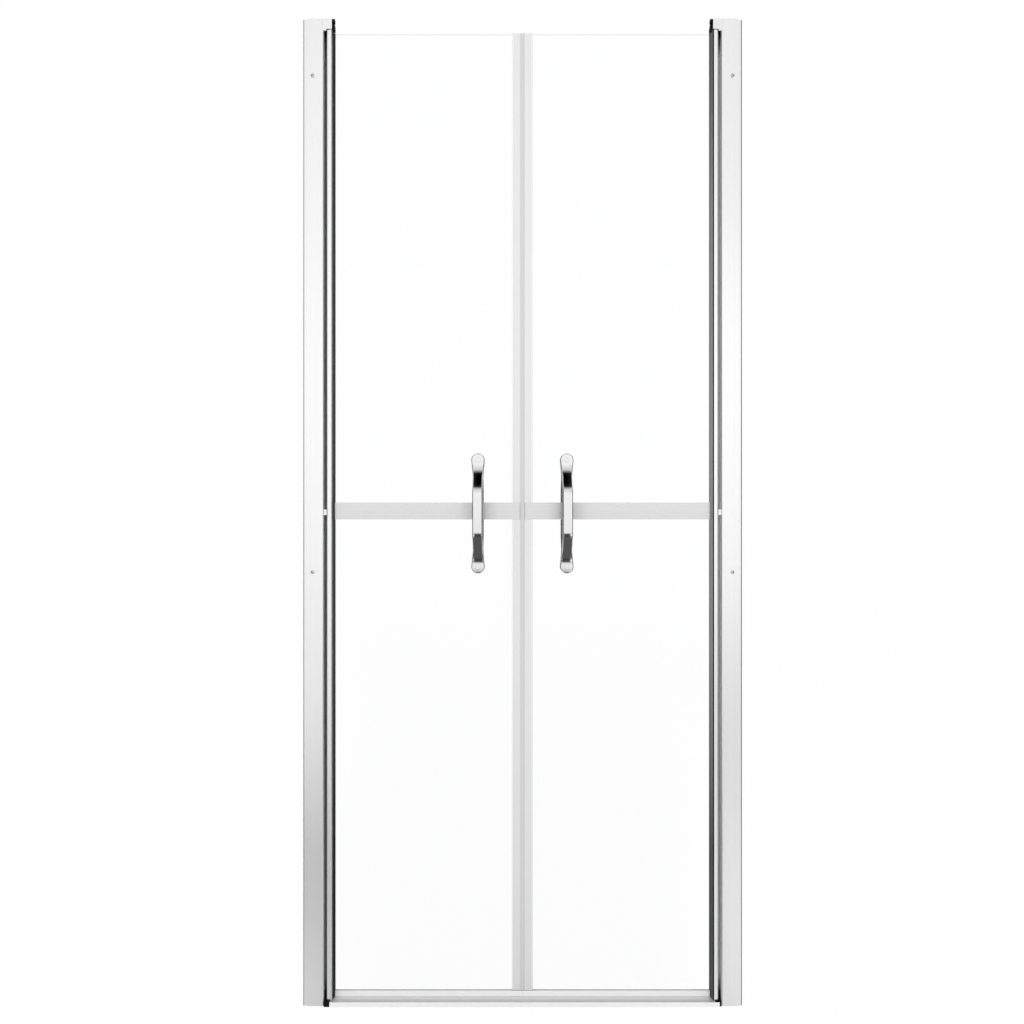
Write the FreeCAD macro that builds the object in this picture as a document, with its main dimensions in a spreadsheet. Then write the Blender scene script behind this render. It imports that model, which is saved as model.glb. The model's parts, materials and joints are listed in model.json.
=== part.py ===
import FreeCAD, Part
import Sketcher
import math
import os

# Two-leaf alcove shower door. Both leaves swing in and out on pivots at the jambs.
#
# Row frame: +X to the right seen from outside, +Y into the shower, +Z up. The origin is on
# the tray under the middle of the door, in the plane of the panes.
#
# Each side is drawn once in a frame of its own: local X runs from that side towards the
# middle of the door, and the right side is the left one turned half a turn about Z. So the
# outside of the door is at local -Y on the left and at local +Y on the right.

LEFT = -1
RIGHT = 1
HANDS = {LEFT: "left", RIGHT: "right"}

# Driving sizes, in millimetres.
SIZES = {
    # The whole door, set at the middle of its width adjustment.
    "overall_width": 847,
    "overall_height": 1900,
    "cut_overrun": 5,
    # Wall profile: a channel screwed to the wall.
    "wall_profile_reach": 31.7,
    "wall_profile_sheet": 1.6,
    "wall_profile_corner": 3.6,
    "wall_profile_shown": 9,
    "wall_hole_radius": 2.75,
    "wall_hole_from_end": 100,
    "wall_hole_middle_spacing": 660,
    # Width adjustment of each side, and the screws that lock it.
    "adjust_in": 7,
    "adjust_out": 8,
    "clamp_from_wall": 19.8,
    "clamp_low": 835,
    "clamp_from_top": 110,
    "clamp_shank_radius": 2,
    "clamp_hole_radius": 2.2,
    "clamp_slot_clearance": 0.45,
    "clamp_head_radius": 3.4,
    "clamp_head_rim": 1.1,
    "clamp_head_crown": 2,
    "clamp_tip_past_nut": 1,
    "clamp_nut_width": 10,
    "clamp_nut_thickness": 3.2,
    # Jamb profile: slides over the wall profile and has a round socket for the hinge post.
    "jamb_depth": 42,
    "jamb_sheet": 1.8,
    "jamb_lip_from_wall": 41.4,
    "jamb_lip_root": 2,
    "jamb_lip_round": 3.2,
    "socket_radius": 19.2,
    "socket_sheet": 1.3,
    "sliding_clearance": 0.3,
    "seat_clearance": 0.2,
    # Pivot axis, and the bearings at its ends.
    "pivot_from_wall": 51.2,
    "bearing_inner_edge": 5.4,
    "bearing_nose_edge": 10.6,
    "bearing_nose_start": 10.4,
    "journal_radius": 3,
    "running_clearance": 0.08,
    "top_bearing_height": 5.5,
    "top_cap_sheet": 1.5,
    "cap_skirt_drop": 18,
    "groove_skirt_drop": 21.5,
    "bottom_bearing_height": 9.2,
    "bottom_bearing_floor": 2,
    "bottom_bearing_inner_edge": 1,
    "bearing_collar_edge": 6.5,
    "bearing_collar_width": 14,
    "left_nose_depth": 49,
    "right_nose_depth": 45.2,
    "thrust_washer_thickness": 1.4,
    "thrust_washer_radius": 5,
    "washer_clearance": 0.2,
    "journal_end_gap": 0.5,
    "tang_length": 20,
    "tang_clearance": 0.1,
    # Clips that bridge the groove half way up.
    "clip_height": 10.6,
    "clip_centre": 950,
    "clip_reach": 5.2,
    "clip_thickness": 1.75,
    "clip_leg": 1,
    "clip_leg_reach": 4,
    # Hinge post: holds the hinge edge of the panes.
    "post_width": 10.4,
    "post_depth": 36,
    "post_sheet": 1.5,
    "post_round": 2.4,
    "post_pocket_depth": 7.2,
    "post_pocket_width": 8,
    "top_gap": 1,
    # Glazing gasket.
    "gasket_flange": 1,
    "gasket_flange_width": 31,
    "gasket_back": 1,
    "gasket_fit": 0.05,
    "gasket_lip_reach": 2.1,
    "gasket_lip_width": 8.8,
    # Panes.
    "glass_thickness": 4,
    "glass_edge_from_middle": 8,
    "glass_bottom": 15.4,
    "glass_from_top": 20,
    "glass_fit": 0.05,
    "notch_clearance": 0.5,
    "profile_clearance": 0.25,
    # Block that closes the corner between the post and the pane's top edge.
    "corner_block_edge": 9.6,
    "corner_block_start": 4.6,
    "corner_block_end": 15.2,
    # Middle rail between the upper and the lower pane.
    "rail_centre": 952.5,
    "rail_height": 33,
    "rail_web": 3,
    "rail_sheet": 2.2,
    "rail_from_middle": 5.6,
    "rail_groove_depth": 0.5,
    "rail_groove_width": 1.4,
    "rail_groove_low": 5.5,
    "rail_groove_high": 14,
    # Closing profiles on the free edge of each leaf, with their ribs.
    "closing_outer": 20.3,
    "closing_inner": 4.2,
    "closing_depth": 8.4,
    "closing_bottom": 22.4,
    "rib_first": 4.1,
    "rib_pitch": 3.4,
    "rib_groove_width": 1.1,
    "rib_groove_depth": 0.45,
    # Magnetic seals.
    "seal_gap": 0.15,
    "seal_depth": 7.8,
    "seal_sheet": 0.8,
    "seal_key_reach": 1,
    "seal_key_width": 3.8,
    "key_clearance": 0.1,
    "seal_joint_height": 858,
    "seal_joint_gap": 0.4,
    "magnet_fit": 0.1,
    "magnet_end": 10,
    # Bottom seal under each leaf.
    "bottom_seal_top": 20.8,
    "bottom_seal_low": 11.2,
    "bottom_seal_sheet": 1.2,
    "bottom_seal_fin_width": 1.2,
    "bottom_seal_fin_gap": 0.9,
    "bottom_seal_from_middle": 0.2,
    # Threshold on the tray.
    "threshold_height": 8.4,
    "threshold_depth": 49,
    "threshold_sheet": 1.6,
    "threshold_round": 1.2,
    "threshold_rib_spacing": 18,
    "threshold_cover_reach": 7.7,
    # Handles: one bow on each face of a leaf, joined through the lower and the upper pane.
    "handle_from_middle": 86.2,
    "handle_centre": 947.7,
    "handle_hole_spacing": 206.7,
    "handle_pad_width": 26,
    "handle_waist_width": 19.5,
    "handle_waist_length": 140,
    "handle_pad_thickness": 7,
    "handle_grip_thickness": 8,
    "handle_standoff": 45,
    "handle_leg_outer": 87.1,
    "handle_leg_inner": 84.6,
    "handle_grip_outer": 44.9,
    "handle_grip_inner": 41.9,
    "handle_crest_bend": 25,
    "handle_grip_bend": 17,
    "handle_foot_bend": 32,
    "handle_heel_bend": 39,
    "handle_washer_thickness": 1,
    "handle_washer_radius": 10,
    "handle_stud_radius": 3,
    "handle_stud_reach": 5,
    "handle_stud_end_gap": 0.5,
    "handle_stud_clearance": 0.05,
    "handle_glass_hole_radius": 5,
}
RIB_GROOVES = 4
SAME_PLACE = 1e-6

doc = FreeCAD.newDocument("shower_door")
parts = {}


class Size:
    """A number together with the sheet expression that gives it."""

    def __init__(self, value, text):
        self.value = value
        self.text = text

    def __add__(self, other):
        other = sized(other)
        return Size(self.value + other.value, f"({self.text} + {other.text})")

    def __radd__(self, other):
        return sized(other) + self

    def __sub__(self, other):
        other = sized(other)
        return Size(self.value - other.value, f"({self.text} - {other.text})")

    def __rsub__(self, other):
        return sized(other) - self

    def __mul__(self, other):
        other = sized(other)
        return Size(self.value * other.value, f"({self.text} * {other.text})")

    def __rmul__(self, other):
        return sized(other) * self

    def __truediv__(self, other):
        other = sized(other)
        return Size(self.value / other.value, f"({self.text} / {other.text})")

    def __neg__(self):
        return Size(-self.value, f"(0 - {self.text})")


def sized(number):
    """Zero, a count or a sign as a Size; a Size stays as it is."""
    if isinstance(number, Size):
        return number
    return Size(float(number), f"({number})")


def other_leg(longest, leg):
    """The third side of a right-angled triangle."""
    square = longest * longest - leg * leg
    return Size(math.sqrt(square.value), f"sqrt({square.text})")


class Dimensions:
    """The driving sizes and the few places that several pieces share, as attributes."""

    def __init__(self, sheet):
        for row, (name, value) in enumerate(SIZES.items(), start=1):
            sheet.set(f"A{row}", name.replace("_", " "))
            sheet.set(f"B{row}", str(value))
            sheet.setAlias(f"B{row}", name)
            setattr(self, name, Size(float(value), f"Dims.{name}"))
        self.half_width = self.overall_width / 2
        self.pivot_x = self.half_width - self.pivot_from_wall
        self.channel_half = self.jamb_depth / 2 - self.jamb_sheet - self.sliding_clearance
        self.clamp_high = self.overall_height - self.clamp_from_top
        self.jamb_half = self.jamb_depth / 2
        self.jamb_inner = self.jamb_half - self.jamb_sheet
        self.jamb_wall_edge = self.wall_profile_shown - self.pivot_from_wall
        self.lip_edge = self.jamb_lip_from_wall - self.pivot_from_wall
        self.bearing_radius = self.socket_radius - self.seat_clearance
        self.cap_bottom = self.overall_height - self.top_cap_sheet
        self.top_bearing_low = self.cap_bottom - self.top_bearing_height
        self.leaf_top = self.top_bearing_low - self.top_gap
        self.leaf_bottom = self.bottom_bearing_height + self.thrust_washer_thickness
        self.leaf_height = self.leaf_top - self.leaf_bottom
        self.post_face = self.post_width / 2
        self.pocket_back = self.post_face - self.post_pocket_depth
        self.gasket_lip_end = self.post_face + self.gasket_flange + self.gasket_lip_reach
        self.leaf_start = self.gasket_lip_end + self.seat_clearance
        self.glass_half = self.glass_thickness / 2
        self.glass_slot = self.glass_half + self.profile_clearance
        self.glass_start = self.pocket_back + self.gasket_fit + self.gasket_back + self.glass_fit
        self.glass_edge = self.pivot_x - self.glass_edge_from_middle
        self.glass_top = self.overall_height - self.glass_from_top
        self.rail_low = self.rail_centre - self.rail_height / 2
        self.rail_high = self.rail_centre + self.rail_height / 2
        self.closing_start = self.pivot_x - self.closing_outer
        self.closing_end = self.pivot_x - self.closing_inner
        self.seal_end = self.pivot_x - self.seal_gap
        self.handle_base = self.glass_half + self.handle_washer_thickness
        self.handle_x = self.pivot_x - self.handle_from_middle


# Sketches, pads and pockets


def origin_feature(body, role):
    """One of the body's own origin planes or axes."""
    for feature in body.Origin.OriginFeatures:
        if feature.Role == role:
            return feature
    raise ValueError(role)


def place(item, side, from_middle, height):
    """Puts an item at a distance from the middle of the door, local X towards the middle."""
    turn = 180 if side == RIGHT else 0
    item.Placement.Rotation = FreeCAD.Rotation(FreeCAD.Vector(0, 0, 1), turn)
    item.setExpression("Placement.Base.x", (from_middle * side).text)
    item.setExpression("Placement.Base.z", sized(height).text)


def new_body(label, side, from_middle, height=0):
    """An empty body on one side of the door, entered in the list of sub-parts."""
    body = doc.addObject("PartDesign::Body", label)
    body.Label = label
    place(body, side, from_middle, height)
    parts[label] = body
    return body


def new_sketch(body, role, raised=None):
    """An empty sketch on one of the body's origin planes, or raised above it."""
    sketch = body.newObject("Sketcher::SketchObject", f"{body.Name}_sketch")
    sketch.AttachmentSupport = [(origin_feature(body, role), "")]
    sketch.MapMode = "FlatFace"
    if raised is not None:
        sketch.setExpression("AttachmentOffset.Base.z", raised.text)
    return sketch


def constrain(sketch, size, kind, *where):
    """One dimension of the sketch, bound to a size."""
    number = sketch.addConstraint(Sketcher.Constraint(kind, *where, size.value))
    sketch.setExpression(f"Constraints[{number}]", size.text)


def pin_point(sketch, geometry, point, along, up):
    """Ties one point of the sketch to its two distances from the origin."""
    constrain(sketch, sized(along), "DistanceX", geometry, point)
    constrain(sketch, sized(up), "DistanceY", geometry, point)


def vector(along, up):
    return FreeCAD.Vector(sized(along).value, sized(up).value, 0)


def arc_between(start, end, centre, turn):
    """The arc from start to end about centre; turn is 1 for anticlockwise."""
    first, last = (start, end) if turn > 0 else (end, start)
    circle = Part.Circle(centre, FreeCAD.Vector(0, 0, 1), (first - centre).Length)
    angles = [math.atan2(point.y - centre.y, point.x - centre.x) for point in (first, last)]
    return Part.ArcOfCircle(circle, *angles)


def outline(sketch, corners):
    """A closed outline.

    A corner is (x, y). Where an arc leaves it, the corner is (x, y, centre_x, centre_y, turn).
    """
    stretches = []
    for here, there in zip(corners, corners[1:] + corners[:1]):
        start, end = vector(*here[:2]), vector(*there[:2])
        if len(here) > 2:
            arc = arc_between(start, end, vector(*here[2:4]), here[4])
            ends = (1, 2) if here[4] > 0 else (2, 1)
            stretches.append((sketch.addGeometry(arc), *ends))
        else:
            stretches.append((sketch.addGeometry(Part.LineSegment(start, end)), 1, 2))
    for before, after in zip(stretches, stretches[1:] + stretches[:1]):
        sketch.addConstraint(Sketcher.Constraint("Coincident", before[0], before[2], after[0], after[1]))
    for corner, stretch in zip(corners, stretches):
        pin_point(sketch, stretch[0], stretch[1], corner[0], corner[1])
    for here, there, stretch in zip(corners, corners[1:] + corners[:1], stretches):
        if len(here) > 2:
            chord = vector(*there[:2]) - vector(*here[:2])
            if abs(chord.y) > abs(chord.x):
                constrain(sketch, sized(here[2]), "DistanceX", stretch[0], 3)
            else:
                constrain(sketch, sized(here[3]), "DistanceY", stretch[0], 3)


def rectangle(sketch, low_x, high_x, low_y, high_y):
    outline(sketch, [(low_x, low_y), (high_x, low_y), (high_x, high_y), (low_x, high_y)])


def circle(sketch, along, up, radius):
    """A circle about a pinned centre."""
    shape = Part.Circle(vector(along, up), FreeCAD.Vector(0, 0, 1), radius.value)
    number = sketch.addGeometry(shape)
    pin_point(sketch, number, 3, along, up)
    constrain(sketch, radius, "Radius", number)


def pad(sketch, length, reverse=False, both_ways=False):
    """Raises the sketch along its normal, against it, or half each way."""
    body = sketch.getParentGeoFeatureGroup()
    feature = body.newObject("PartDesign::Pad", f"{body.Name}_pad")
    feature.Profile = sketch
    feature.setExpression("Length", length.text)
    feature.Reversed = reverse
    feature.SideType = "Symmetric" if both_ways else "One side"
    body.Tip = feature
    return feature


def pocket(sketch, length=None, reverse=False, both_ways=False):
    """Cuts the sketch out, below it or above it, to a depth or through everything."""
    body = sketch.getParentGeoFeatureGroup()
    doc.recompute()
    before = body.Shape.Volume
    feature = body.newObject("PartDesign::Pocket", f"{body.Name}_pocket")
    feature.Profile = sketch
    feature.Reversed = reverse
    feature.SideType = "Symmetric" if both_ways else "One side"
    if length is None:
        feature.Type = "ThroughAll"
    else:
        feature.setExpression("Length", length.text)
    body.Tip = feature
    doc.recompute()
    if not body.Shape.Volume < before:
        raise ValueError(f"{body.Label}: a pocket cuts nothing")
    return feature


# Wall side: wall profile, jamb profile and the screws between them


def wall_profile(side):
    """Channel on the wall, with screw holes in its web and slots for the clamp screws."""
    body = new_body(f"{HANDS[side]}_wall_profile", side, d.half_width)
    half, wall, corner = d.channel_half, d.wall_profile_sheet, d.wall_profile_corner
    reach, bend = d.wall_profile_reach, half - corner
    sketch = new_sketch(body, "XY_Plane")
    outline(
        sketch,
        [
            (corner, -half),
            (reach, -half),
            (reach, wall - half),
            (corner, wall - half, corner, -bend, -1),
            (wall, -bend),
            (wall, bend, corner, bend, -1),
            (corner, half - wall),
            (reach, half - wall),
            (reach, half),
            (corner, half, corner, bend, 1),
            (0, bend),
            (0, -bend, corner, -bend, 1),
        ],
    )
    pad(sketch, d.cap_bottom - d.seat_clearance)
    holes = new_sketch(body, "YZ_Plane")
    middle, step = d.overall_height / 2, d.wall_hole_middle_spacing / 2
    ends = (d.wall_hole_from_end, d.overall_height - d.wall_hole_from_end)
    for height in (*ends, middle - step, middle + step):
        circle(holes, 0, height, d.wall_hole_radius)
    pocket(holes, d.wall_profile_sheet + d.cut_overrun, reverse=True)
    slots = new_sketch(body, "XZ_Plane")
    radius = d.clamp_shank_radius + d.clamp_slot_clearance
    near, far = d.clamp_from_wall - d.adjust_in, d.clamp_from_wall + d.adjust_out
    for height in (d.clamp_low, d.clamp_high):
        outline(
            slots,
            [
                (near, height - radius),
                (far, height - radius, far, height, 1),
                (far, height + radius),
                (near, height + radius, near, height, 1),
            ],
        )
    pocket(slots, d.channel_half + d.cut_overrun, reverse=side == LEFT)


def jamb_profile(side):
    """Two flanges that slide over the wall profile, joined by the round socket."""
    body = new_body(f"{HANDS[side]}_jamb_profile", side, d.pivot_x)
    half, inner, edge, tip = d.jamb_half, d.jamb_inner, d.jamb_wall_edge, d.lip_edge
    bend, root = d.jamb_lip_round, d.lip_edge - d.jamb_lip_root
    shell = d.socket_radius + d.socket_sheet
    mouth, back = other_leg(d.socket_radius, tip), other_leg(shell, root)
    sketch = new_sketch(body, "XY_Plane")
    outline(
        sketch,
        [
            (edge, -half),
            (tip - bend, -half, tip - bend, bend - half, 1),
            (tip, bend - half),
            (tip, -mouth, 0, 0, -1),
            (tip, mouth),
            (tip, half - bend, tip - bend, half - bend, 1),
            (tip - bend, half),
            (edge, half),
            (edge, inner),
            (root, inner),
            (root, back, 0, 0, 1),
            (root, -back),
            (root, -inner),
            (edge, -inner),
        ],
    )
    pad(sketch, d.cap_bottom)
    holes = new_sketch(body, "XZ_Plane")
    for height in (d.clamp_low, d.clamp_high):
        circle(holes, d.clamp_from_wall - d.pivot_from_wall, height, d.clamp_hole_radius)
    pocket(holes, d.jamb_half + d.cut_overrun, reverse=side == LEFT)
    ledge = new_sketch(body, "XY_Plane", d.cap_bottom - d.groove_skirt_drop - d.seat_clearance)
    over = d.cut_overrun
    rectangle(ledge, tip - bend, tip + over, -half - over, -d.socket_radius)
    rectangle(ledge, tip - bend, tip + over, d.socket_radius, half + over)
    pocket(ledge, reverse=True)


def clamp_screws(side):
    """Two dome-headed screws through the outer flange of the jamb profile."""
    body = new_body(f"{HANDS[side]}_clamp_screws", side, d.half_width - d.clamp_from_wall, d.clamp_low)
    shank, head = d.clamp_shank_radius, d.clamp_head_radius
    nut_outer = d.channel_half - d.wall_profile_sheet - d.sliding_clearance
    end = nut_outer - d.clamp_nut_thickness - d.clamp_tip_past_nut
    rim, crown = d.clamp_head_rim, d.clamp_head_crown
    dome = (crown * crown - head * head - rim * rim) / (2 * (crown - rim))
    seat = d.jamb_half
    sketch = new_sketch(body, "XY_Plane")
    outline(
        sketch,
        [
            (0, end * side),
            (shank, end * side),
            (shank, seat * side),
            (head, seat * side),
            (head, (seat + rim) * side, 0, (seat + dome) * side, side),
            (0, (seat + crown) * side),
        ],
    )
    screw = body.newObject("PartDesign::Revolution", f"{body.Name}_screw")
    screw.Profile = sketch
    screw.ReferenceAxis = (sketch, ["V_Axis"])
    screw.Angle = 360
    body.Tip = screw
    repeat_upwards(screw, d.clamp_high - d.clamp_low)


def repeat_upwards(feature, spacing):
    """A second copy of the feature, higher up."""
    body = feature.getParentGeoFeatureGroup()
    doc.recompute()
    row = body.newObject("PartDesign::LinearPattern", f"{body.Name}_row")
    row.Originals = [feature]
    row.Direction = (origin_feature(body, "Z_Axis"), [""])
    row.Occurrences = 2
    row.setExpression("Length", spacing.text)
    body.Tip = row


def clamp_nuts(side):
    """Square nuts that pull the wall profile's flange against the jamb profile."""
    body = new_body(f"{HANDS[side]}_clamp_nuts", side, d.half_width - d.clamp_from_wall, d.clamp_low)
    half = d.clamp_nut_width / 2
    outer = d.channel_half - d.wall_profile_sheet - d.sliding_clearance
    inner = outer - d.clamp_nut_thickness
    sketch = new_sketch(body, "XZ_Plane", -inner * side)
    for height in (sized(0), d.clamp_high - d.clamp_low):
        rectangle(sketch, -half, half, height - half, height + half)
        circle(sketch, 0, height, d.clamp_shank_radius)
    pad(sketch, d.clamp_nut_thickness, reverse=side == RIGHT)


def top_cap(side):
    """Plate over the top of the jamb; its skirts hang in front of the grooves and the post."""
    body = new_body(f"{HANDS[side]}_top_cap", side, d.pivot_x, d.cap_bottom)
    plate = new_sketch(body, "XY_Plane")
    rectangle(plate, d.jamb_wall_edge, d.bearing_inner_edge, -d.jamb_half, d.jamb_half)
    pad(plate, d.top_cap_sheet)
    start = d.lip_edge - d.jamb_lip_round + d.seat_clearance
    groove_end = d.seat_clearance - d.post_face
    for end, drop in ((groove_end, d.groove_skirt_drop), (d.bearing_inner_edge, d.cap_skirt_drop)):
        skirts = new_sketch(body, "XY_Plane")
        rectangle(skirts, start, end, -d.jamb_half, -d.socket_radius)
        rectangle(skirts, start, end, d.socket_radius, d.jamb_half)
        pad(skirts, drop, reverse=True)


def clips(side):
    """One small clip outside and one inside, each with a leg against the tip of the jamb's lip."""
    body = new_body(f"{HANDS[side]}_groove_clips", side, d.pivot_x, d.clip_centre - d.clip_height / 2)
    sketch = new_sketch(body, "XY_Plane")
    start, end = d.lip_edge, d.lip_edge + d.clip_reach
    high, low, foot = d.jamb_half, d.jamb_half - d.clip_thickness, d.jamb_half - d.clip_leg_reach
    leg = start + d.clip_leg
    clip = [(start, high), (start, foot), (leg, foot), (leg, low), (end, low), (end, high)]
    outline(sketch, clip)
    outline(sketch, [(along, -depth) for along, depth in reversed(clip)])
    pad(sketch, d.clip_height)


# Bearings and pivots


def bearing_outline(sketch, inner_edge):
    """Half round towards the socket, straight towards the middle of the door."""
    radius = d.bearing_radius
    corners = [(0, -radius), (inner_edge, -radius), (inner_edge, radius), (0, radius, 0, 0, 1)]
    outline(sketch, corners)


def top_bearing(side):
    """Plate in the top of the socket with the bore for the upper journal, and an outer nose."""
    body = new_body(f"{HANDS[side]}_top_bearing", side, d.pivot_x, d.top_bearing_low)
    sketch = new_sketch(body, "XY_Plane")
    bearing_outline(sketch, d.bearing_inner_edge)
    circle(sketch, 0, 0, d.journal_radius + d.running_clearance)
    pad(sketch, d.top_bearing_height)
    near, far = d.bearing_nose_start * side, d.bearing_radius * side
    nose = new_sketch(body, "XY_Plane")
    rectangle(nose, 0, d.bearing_nose_edge, near, far)
    pad(nose, d.top_bearing_height)
    beside_cap = new_sketch(body, "XY_Plane")
    rectangle(beside_cap, d.bearing_inner_edge + d.seat_clearance, d.bearing_nose_edge, near, far)
    pad(beside_cap, d.overall_height - d.top_bearing_low)


def bottom_bearing(side):
    """Block in the foot of the socket: its nose closes the end of the threshold, and its
    collar lies in the notch there."""
    body = new_body(f"{HANDS[side]}_bottom_bearing", side, d.pivot_x)
    block = new_sketch(body, "XY_Plane")
    bearing_outline(block, d.bottom_bearing_inner_edge)
    pad(block, d.bottom_bearing_height)
    nose = new_sketch(body, "XY_Plane")
    depth = d.left_nose_depth if side == LEFT else d.right_nose_depth
    start = d.lip_edge + d.sliding_clearance
    rectangle(nose, start, d.bottom_bearing_inner_edge, -depth / 2, depth / 2)
    pad(nose, d.bottom_bearing_height)
    collar = new_sketch(body, "XY_Plane")
    collar_half = d.bearing_collar_width / 2
    rectangle(collar, 0, d.bearing_collar_edge, -collar_half, collar_half)
    pad(collar, d.bottom_bearing_height)
    bore = new_sketch(body, "XY_Plane", d.bottom_bearing_floor)
    circle(bore, 0, 0, d.journal_radius + d.running_clearance)
    pocket(bore, reverse=True)


def pivot(side, name, end_height, outwards, reach):
    """Flat tang in the post's pocket with a round journal on its end."""
    body = new_body(f"{HANDS[side]}_{name}_pivot", side, d.pivot_x, end_height)
    tang = new_sketch(body, "XY_Plane")
    half = d.post_pocket_width / 2 - d.tang_clearance
    rectangle(tang, d.pocket_back + d.tang_clearance, d.post_face, -half, half)
    pad(tang, d.tang_length, reverse=outwards)
    journal = new_sketch(body, "XY_Plane")
    circle(journal, 0, 0, d.journal_radius)
    pad(journal, reach, reverse=not outwards)


def thrust_washer(side):
    """Ring that carries the leaf on the bottom bearing."""
    body = new_body(f"{HANDS[side]}_thrust_washer", side, d.pivot_x, d.bottom_bearing_height)
    sketch = new_sketch(body, "XY_Plane")
    circle(sketch, 0, 0, d.thrust_washer_radius)
    circle(sketch, 0, 0, d.journal_radius + d.washer_clearance)
    pad(sketch, d.thrust_washer_thickness)


# Leaf: post, gasket, panes, rail and edge profiles


def hinge_post(side):
    """Hollow post with a pocket for the panes."""
    body = new_body(f"{HANDS[side]}_hinge_post", side, d.pivot_x, d.leaf_bottom)
    sketch = new_sketch(body, "XY_Plane")
    face, half, slot = d.post_face, d.post_depth / 2, d.post_pocket_width / 2
    bend = d.post_round
    side_end, front_end = half - bend, face - bend
    outline(
        sketch,
        [
            (-front_end, -half),
            (front_end, -half, front_end, -side_end, 1),
            (face, -side_end),
            (face, -slot),
            (d.pocket_back, -slot),
            (d.pocket_back, slot),
            (face, slot),
            (face, side_end, front_end, side_end, 1),
            (front_end, half),
            (-front_end, half, -front_end, side_end, 1),
            (-face, side_end),
            (-face, -side_end, -front_end, -side_end, 1),
        ],
    )
    wide, near, far = face - d.post_sheet, slot + d.post_sheet, half - d.post_sheet
    rectangle(sketch, -wide, wide, -far, -near)
    rectangle(sketch, -wide, wide, near, far)
    pad(sketch, d.leaf_height)


def glazing_gasket(side):
    """Channel round the panes' hinge edge, with flanges over the post and lips on the panes."""
    body = new_body(f"{HANDS[side]}_glazing_gasket", side, d.pivot_x, d.leaf_bottom)
    glass, outer = d.glass_half + d.glass_fit, d.post_pocket_width / 2 - d.gasket_fit
    back, face = d.pocket_back + d.gasket_fit, d.post_face
    end = d.tang_length + d.notch_clearance
    channel = new_sketch(body, "XY_Plane", end)
    outline(
        channel,
        [
            (back, -outer),
            (face, -outer),
            (face, -glass),
            (back + d.gasket_back, -glass),
            (back + d.gasket_back, glass),
            (face, glass),
            (face, outer),
            (back, outer),
        ],
    )
    pad(channel, d.leaf_height - end * 2)
    flanges = new_sketch(body, "XY_Plane")
    side_face, half, lip = face + d.gasket_flange, d.gasket_flange_width / 2, d.gasket_lip_width / 2
    tip = d.gasket_lip_end
    flange = [(face, glass), (tip, glass), (tip, lip), (side_face, lip), (side_face, half), (face, half)]
    outline(flanges, flange)
    outline(flanges, [(along, -depth) for along, depth in reversed(flange)])
    pad(flanges, d.glass_top - d.leaf_bottom)


def top_corner_block(side):
    """Block on the post's inner side, outside the pane's top corner and below the nose."""
    low = d.glass_top + d.seat_clearance
    body = new_body(f"{HANDS[side]}_top_corner_block", side, d.pivot_x, low)
    sketch = new_sketch(body, "XY_Plane")
    near, far = d.corner_block_start * side, d.corner_block_end * side
    rectangle(sketch, d.post_face, d.corner_block_edge, near, far)
    pad(sketch, d.leaf_top - low)


def pane(side, name, low, high, notch_end):
    """Sheet of glass with a corner notched for the tang and a hole for the handle stud."""
    body = new_body(f"{HANDS[side]}_{name}_pane", side, d.pivot_x)
    step = d.post_face + d.notch_clearance
    tang = d.tang_length + d.notch_clearance * 2
    sketch = new_sketch(body, "XZ_Plane")
    if notch_end == "top":
        shoulder = d.leaf_top - tang
        hinge_edge = [(step, high), (step, shoulder), (d.glass_start, shoulder), (d.glass_start, low)]
        hole = d.handle_centre + d.handle_hole_spacing / 2
    else:
        shoulder = d.leaf_bottom + tang
        hinge_edge = [(d.glass_start, high), (d.glass_start, shoulder), (step, shoulder), (step, low)]
        hole = d.handle_centre - d.handle_hole_spacing / 2
    outline(sketch, hinge_edge + [(d.glass_edge, low), (d.glass_edge, high)])
    circle(sketch, d.handle_x, hole, d.handle_glass_hole_radius)
    pad(sketch, d.glass_thickness, both_ways=True)


def panes(side):
    rail_gap = d.rail_web / 2 + d.profile_clearance
    pane(side, "upper", d.rail_centre + rail_gap, d.glass_top, "top")
    pane(side, "lower", d.glass_bottom, d.rail_centre - rail_gap, "bottom")


def mid_rail(side):
    """H-shaped rail that joins the panes, with two fine grooves along each face."""
    start = d.leaf_start
    body = new_body(f"{HANDS[side]}_mid_rail", side, d.pivot_x - start, d.rail_low)
    half, slot, top = d.glass_slot + d.rail_sheet, d.glass_slot, d.rail_height
    low_web, high_web = (top - d.rail_web) / 2, (top + d.rail_web) / 2
    cut = half - d.rail_groove_depth
    grooves = []
    for centre in (d.rail_groove_low, d.rail_groove_high):
        below, above = centre - d.rail_groove_width / 2, centre + d.rail_groove_width / 2
        grooves += [(half, below), (cut, below), (cut, above), (half, above)]
    mirrored = [(-depth, height) for depth, height in reversed(grooves)]
    sketch = new_sketch(body, "YZ_Plane")
    outline(
        sketch,
        [(-half, 0), (-slot, 0), (-slot, low_web), (slot, low_web), (slot, 0), (half, 0)]
        + grooves
        + [(half, top), (slot, top), (slot, high_web), (-slot, high_web), (-slot, top), (-half, top)]
        + mirrored,
    )
    pad(sketch, d.pivot_x - d.rail_from_middle - start)


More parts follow.
